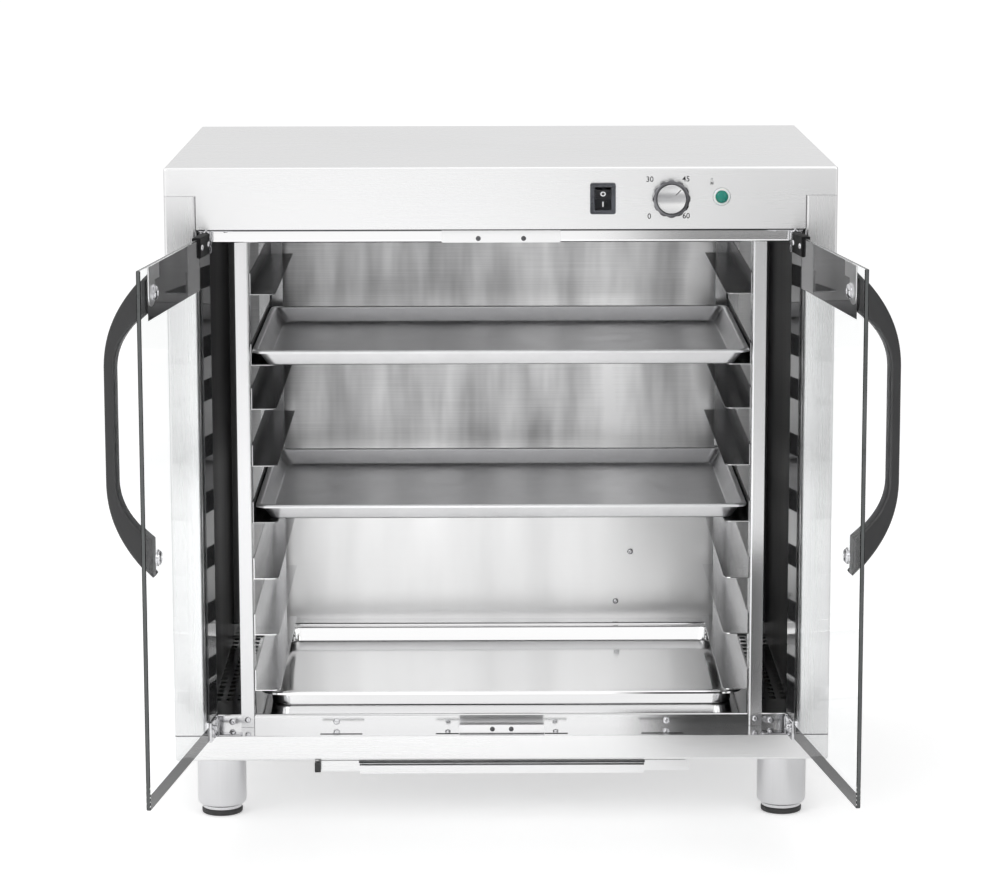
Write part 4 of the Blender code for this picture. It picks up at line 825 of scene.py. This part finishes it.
lens = lathe("pilot_lens", [(POLE, 0.0), (LENS_RADIUS, 0.0), (LENS_RADIUS, LENS_WALL), *dome,
                            (POLE, LENS_WALL + LENS_DOME)], sides=48)
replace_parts(fit(lens, green, "cabinet", pilot_place), "pilot_light")

# Doors: frameless panes of 5 mm toughened glass with an enamel border baked on the inner
# face. Each is drawn shut, its hinge line upright at the origin, and then swung open.
HINGE_X = 0.350
DOOR_ANGLE = math.radians(98)
door_line = face + 0.0045
PANE_REACH, PANE_LAP, PANE_GAUGE = 0.3485, 0.004, 0.005
PANE_LOW, PANE_HIGH = 0.110, 0.720
# Toughening leaves faint roller waves, which bend what the glass mirrors. A low index
# keeps its reflections as faint as they are on the real panes.
clear_glass, tree, shader = blank("toughened_clear_glass")
roller = lay(tree, "TexNoise", {"Vector": lay(tree, "TexCoord").outputs["Object"],
                                "Scale": 6.0, "Detail": 1.0})
wave = lay(tree, "Bump", {"Height": roller, "Strength": 0.04, "Distance": 0.002})
wire(shader, {"Normal": wave, "Base Color": linear("#FDFEFE"), "Transmission Weight": 1.0,
              "Roughness": 0.0, "IOR": 1.04})
# Ground edges are dull grey. The enamel mirrors sharply on its free side, towards the
# chamber, and not at all where it is fused to the glass. There its colour is a little
# lighter instead, a painted reflection.
glass_edge = moulded("ground_glass_edge", "#5C5F5F", "#484B4B", 0.3, 700.0, 0.05,
                     Coat_Weight=0.2)
border_enamel = moulded("grey_black_glass_enamel", "#373738", "#2E2E2F", 0.05, 700.0, 0.0)
fused_enamel = moulded("enamel_fused_to_the_glass", "#4A4A4B", "#444445", 0.6, 700.0, 0.0,
                       Specular_IOR_Level=0.0)


def swung(side):
    """The place of a door's hinge line, with the door open."""
    return (Matrix.Translation((side * HINGE_X, door_line, 0))
            @ Matrix.Rotation(side * DOOR_ANGLE, 4, "Z"))


pane = block("pane", (PANE_REACH + PANE_LAP, PANE_GAUGE, PANE_HIGH - PANE_LOW), ease=0.0007)
for part in pane.data.polygons:
    part.material_index = 0 if abs(part.normal.y) > 0.6 else 1
# The border as distances from the hinge line and heights: a broad band along the top, and
# narrow ones up the hinge edge and along the bottom.
border = ((-0.0035, 0.1105), (0.348, 0.1105), (0.348, 0.128), (0.039, 0.128),
          (0.039, 0.660), (0.3155, 0.660), (0.3155, 0.7195), (-0.0035, 0.7195))
for side, name in SIDES:
    middle = (-side * (PANE_REACH - PANE_LAP) / 2, 0, (PANE_LOW + PANE_HIGH) / 2)
    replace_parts(fit(copied(pane, name + "_pane"), (clear_glass, glass_edge),
                    name + "_door", swung(side) @ Matrix.Translation(middle)),
                name + "_door_glass")
    outline = [(-side * reach, height) for reach, height in border]
    enamel = flat_cut(name + "_pane_border", outline, 0.0001)
    for part in enamel.data.polygons:
        part.material_index = 1 if part.normal.z > 0.5 else 0
    fit(enamel, (border_enamel, fused_enamel), name + "_door",
        swung(side) @ Matrix.Translation((0, 0.00257, 0)) @ FACING)
bpy.data.objects.remove(pane)

# Door handles: bows of black moulded nylon, finely grained, each screwed on through the
# glass by two chrome studs. The upper one also holds the satin steel keeper plate, which
# meets the striker plate.
SCREW_REACH = 0.2935
HANDLE_Z = 0.539
BOW_STRAIGHT = 0.060
handle_nylon = moulded("black_moulded_nylon", "#2F2F30", "#282829", 0.33, 1100.0, 0.05)
keeper_steel = brushed_steel("keeper_satin_steel", "#E6E6E6", "#CFCFD0", 0.3, "Z", 0.3)


def bow(reach, half_length, steps=30):
    """One side of the handle's bow, from its lower end up: straight middle, eased ends."""
    points = []
    for step in range(-steps, steps + 1):
        share = 1 - (1 - abs(step) / steps) ** 2
        rise = BOW_STRAIGHT + (half_length - BOW_STRAIGHT) * share
        points.append((reach * (1 - share ** 2.3), math.copysign(rise, step) if step else 0.0))
    return points


handle = flat_cut("handle", bow(0.050, 0.17175) + bow(0.038, 0.12825)[::-1], 0.022,
                  edge=0.0036, steps=6)
stud = lathe("stud", [
    (POLE, 0.0), (0.0095, 0.0), (0.0095, 0.0013), (0.0086, 0.0016), (0.0080, 0.0018),
    (0.0080, 0.0032), (0.0066, 0.0044), (0.0036, 0.0049), (0.0032, 0.0034),
    (POLE, 0.0032)], sides=36)
for side, name in SIDES:
    stand = Matrix(((0, 0, -1, -side * SCREW_REACH), (-1, 0, 0, -0.0028),
                    (0, 1, 0, HANDLE_Z), (0, 0, 0, 1)))
    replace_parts(fit(copied(handle, name + "_handle"), handle_nylon,
                    name + "_door", swung(side) @ stand, smooth=45),
                name + "_door_handle")
    nodes[name + "_door_keeper"].material_slots[0].material = keeper_steel
    for row, height, seat in (("top", 0.689, 0.0040), ("low", 0.389, 0.0027)):
        fit(copied(stud, f"{name}_handle_{row}_stud"), chrome,
            name + "_door",
            swung(side) @ Matrix.Translation((-side * SCREW_REACH, seat, height))
            @ Matrix.Rotation(-math.pi / 2, 4, "X"))
bpy.data.objects.remove(handle)
bpy.data.objects.remove(stud)

# Door hinges: cast clamps that two pairs of screws draw together on the panes' corners,
# black above and chrome-plated below. Each turns on a chrome pivot, whose plate is screwed
# on the sill or under the lintel.
CLAMP_NEAR, CLAMP_THICKNESS = 0.005, 0.0104
SCREW_SEAT = 0.0045
# A painted casting is black and dull, and hardly shines.
clamp_black = moulded("black_clamp_casting", "#131314", "#0C0C0D", 0.55, 900.0, 0.1,
                      Specular_IOR_Level=0.15)
for row, low, high, far, metal, foot, head, tip in (
        ("top", 0.698, 0.7225, 0.058, clamp_black, 0.698, 0.7243,
         [(0.003, 0.7243), (0.003, 0.733), (POLE, 0.733)]),
        ("bottom", 0.1075, 0.132, 0.040, chrome, 0.1063, 0.132, [(POLE, 0.132)])):
    clamp = block(row + "_clamp", (far - CLAMP_NEAR, CLAMP_THICKNESS, high - low),
                  ease=0.0016, steps=3)
    bpy.ops.object.mode_set(mode="EDIT")
    bpy.ops.mesh.select_all(action="DESELECT")
    bpy.ops.object.mode_set(mode="OBJECT")
    for part in clamp.data.polygons:
        part.select = abs(part.normal.y) > 0.99
    bpy.ops.object.mode_set(mode="EDIT")
    bpy.ops.mesh.select_mode(type="FACE")
    bpy.ops.mesh.inset(thickness=0.002, depth=-0.0007, use_individual=True)
    bpy.ops.object.mode_set(mode="OBJECT")
    pivot = lathe(row + "_pivot", [
        (POLE, foot), (0.0052, foot), (0.0058, foot + 0.0008), (0.0058, foot + 0.0072),
        (0.0050, foot + 0.0078), (0.0050, foot + 0.0092), (0.0058, foot + 0.0098),
        (0.0058, head - 0.0040), (0.0046, head - 0.0032), (0.0046, head), *tip], sides=32)
    for side, name in SIDES:
        middle = (-side * (CLAMP_NEAR + far) / 2, 0, (low + high) / 2)
        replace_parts(fit(copied(clamp, f"{name}_{row}_clamp"), metal,
                        name + "_door", swung(side) @ Matrix.Translation(middle)),
                    f"{name}_door_{row}_clamp")
        fit(copied(pivot, f"{name}_{row}_pivot"), chrome,
            name + "_door", swung(side))
        for count, reach in enumerate((0.014, far - 0.009)):
            for way, outward in (("inner", 1), ("outer", -1)):
                place = Vector((-side * reach, outward * SCREW_SEAT, (low + high) / 2))
                pan_screw(f"{name}_{row}_clamp_{way}_screw_{count}", 0.0036,
                          swung(side) @ place,
                          swung(side).to_3x3() @ Vector((0, outward, 0)), chrome,
                          name + "_door")
    bpy.data.objects.remove(clamp)
    bpy.data.objects.remove(pivot)

plate = flat_cut("plate", round_corners(0.044, 0.0155, 0.003), 0.0011, edge=0.0003)
for side, name in SIDES:
    for row, height, way in (("bottom", SILL_TOP + 0.0006, 1), ("top", 0.7239, -1)):
        fit(copied(plate, f"{name}_{row}_hinge_plate"), chrome,
            "cabinet", Matrix.Translation((side * 0.3385, face + 0.0105, height)))
        pan_screw(f"{name}_{row}_hinge_screw", 0.0034,
                  (side * 0.328, face + 0.0142, height + way * 0.0005), (0, 0, way))
bpy.data.objects.remove(plate)
bpy.data.objects.remove(turned_screw)

# Inside and behind: the element under the grilles, its steel sheath dark and dull with
# oxide, the thermostat in its matt grey resin housing, and the grained black nylon cable
# gland with its hexagonal cap, screwed through the rear panel.
element_sheath = moulded("oxidised_element_sheath", "#7A766F", "#57534D", 0.45, 500.0, 0.2,
                         Metallic=0.9)
housing_resin = moulded("thermostat_housing_resin", "#8C8F90", "#7B7E80", 0.5)
gland_nylon = moulded("black_gland_nylon", "#2A2A2B", "#1D1D1E", 0.42, 1000.0, 0.2)
for name, stuff in (("heating_element", element_sheath), ("thermostat", housing_resin),
                    ("cable_gland", gland_nylon)):
    nodes[name].material_slots[0].material = stuff
barrel = lathe("gland_cap", [
    (0.0040, 0.0003), (0.0118, 0.0003), (0.0118, 0.0046), (0.0100, 0.0052),
    (0.0095, 0.0060), (0.0095, 0.0150), (0.0086, 0.0172), (0.0062, 0.0180),
    (0.0042, 0.0176), (0.0040, 0.0003)], sides=6)
edge = barrel.modifiers.new("edge", "BEVEL")
edge.width = 0.0004
edge.segments = 2
bpy.ops.object.modifier_apply(modifier="edge")
fit(barrel, gland_nylon, "cabinet",
    Matrix.Translation((0.300, face + 0.5785, 0.150)) @ Matrix.Rotation(-math.pi / 2, 4, "X"))
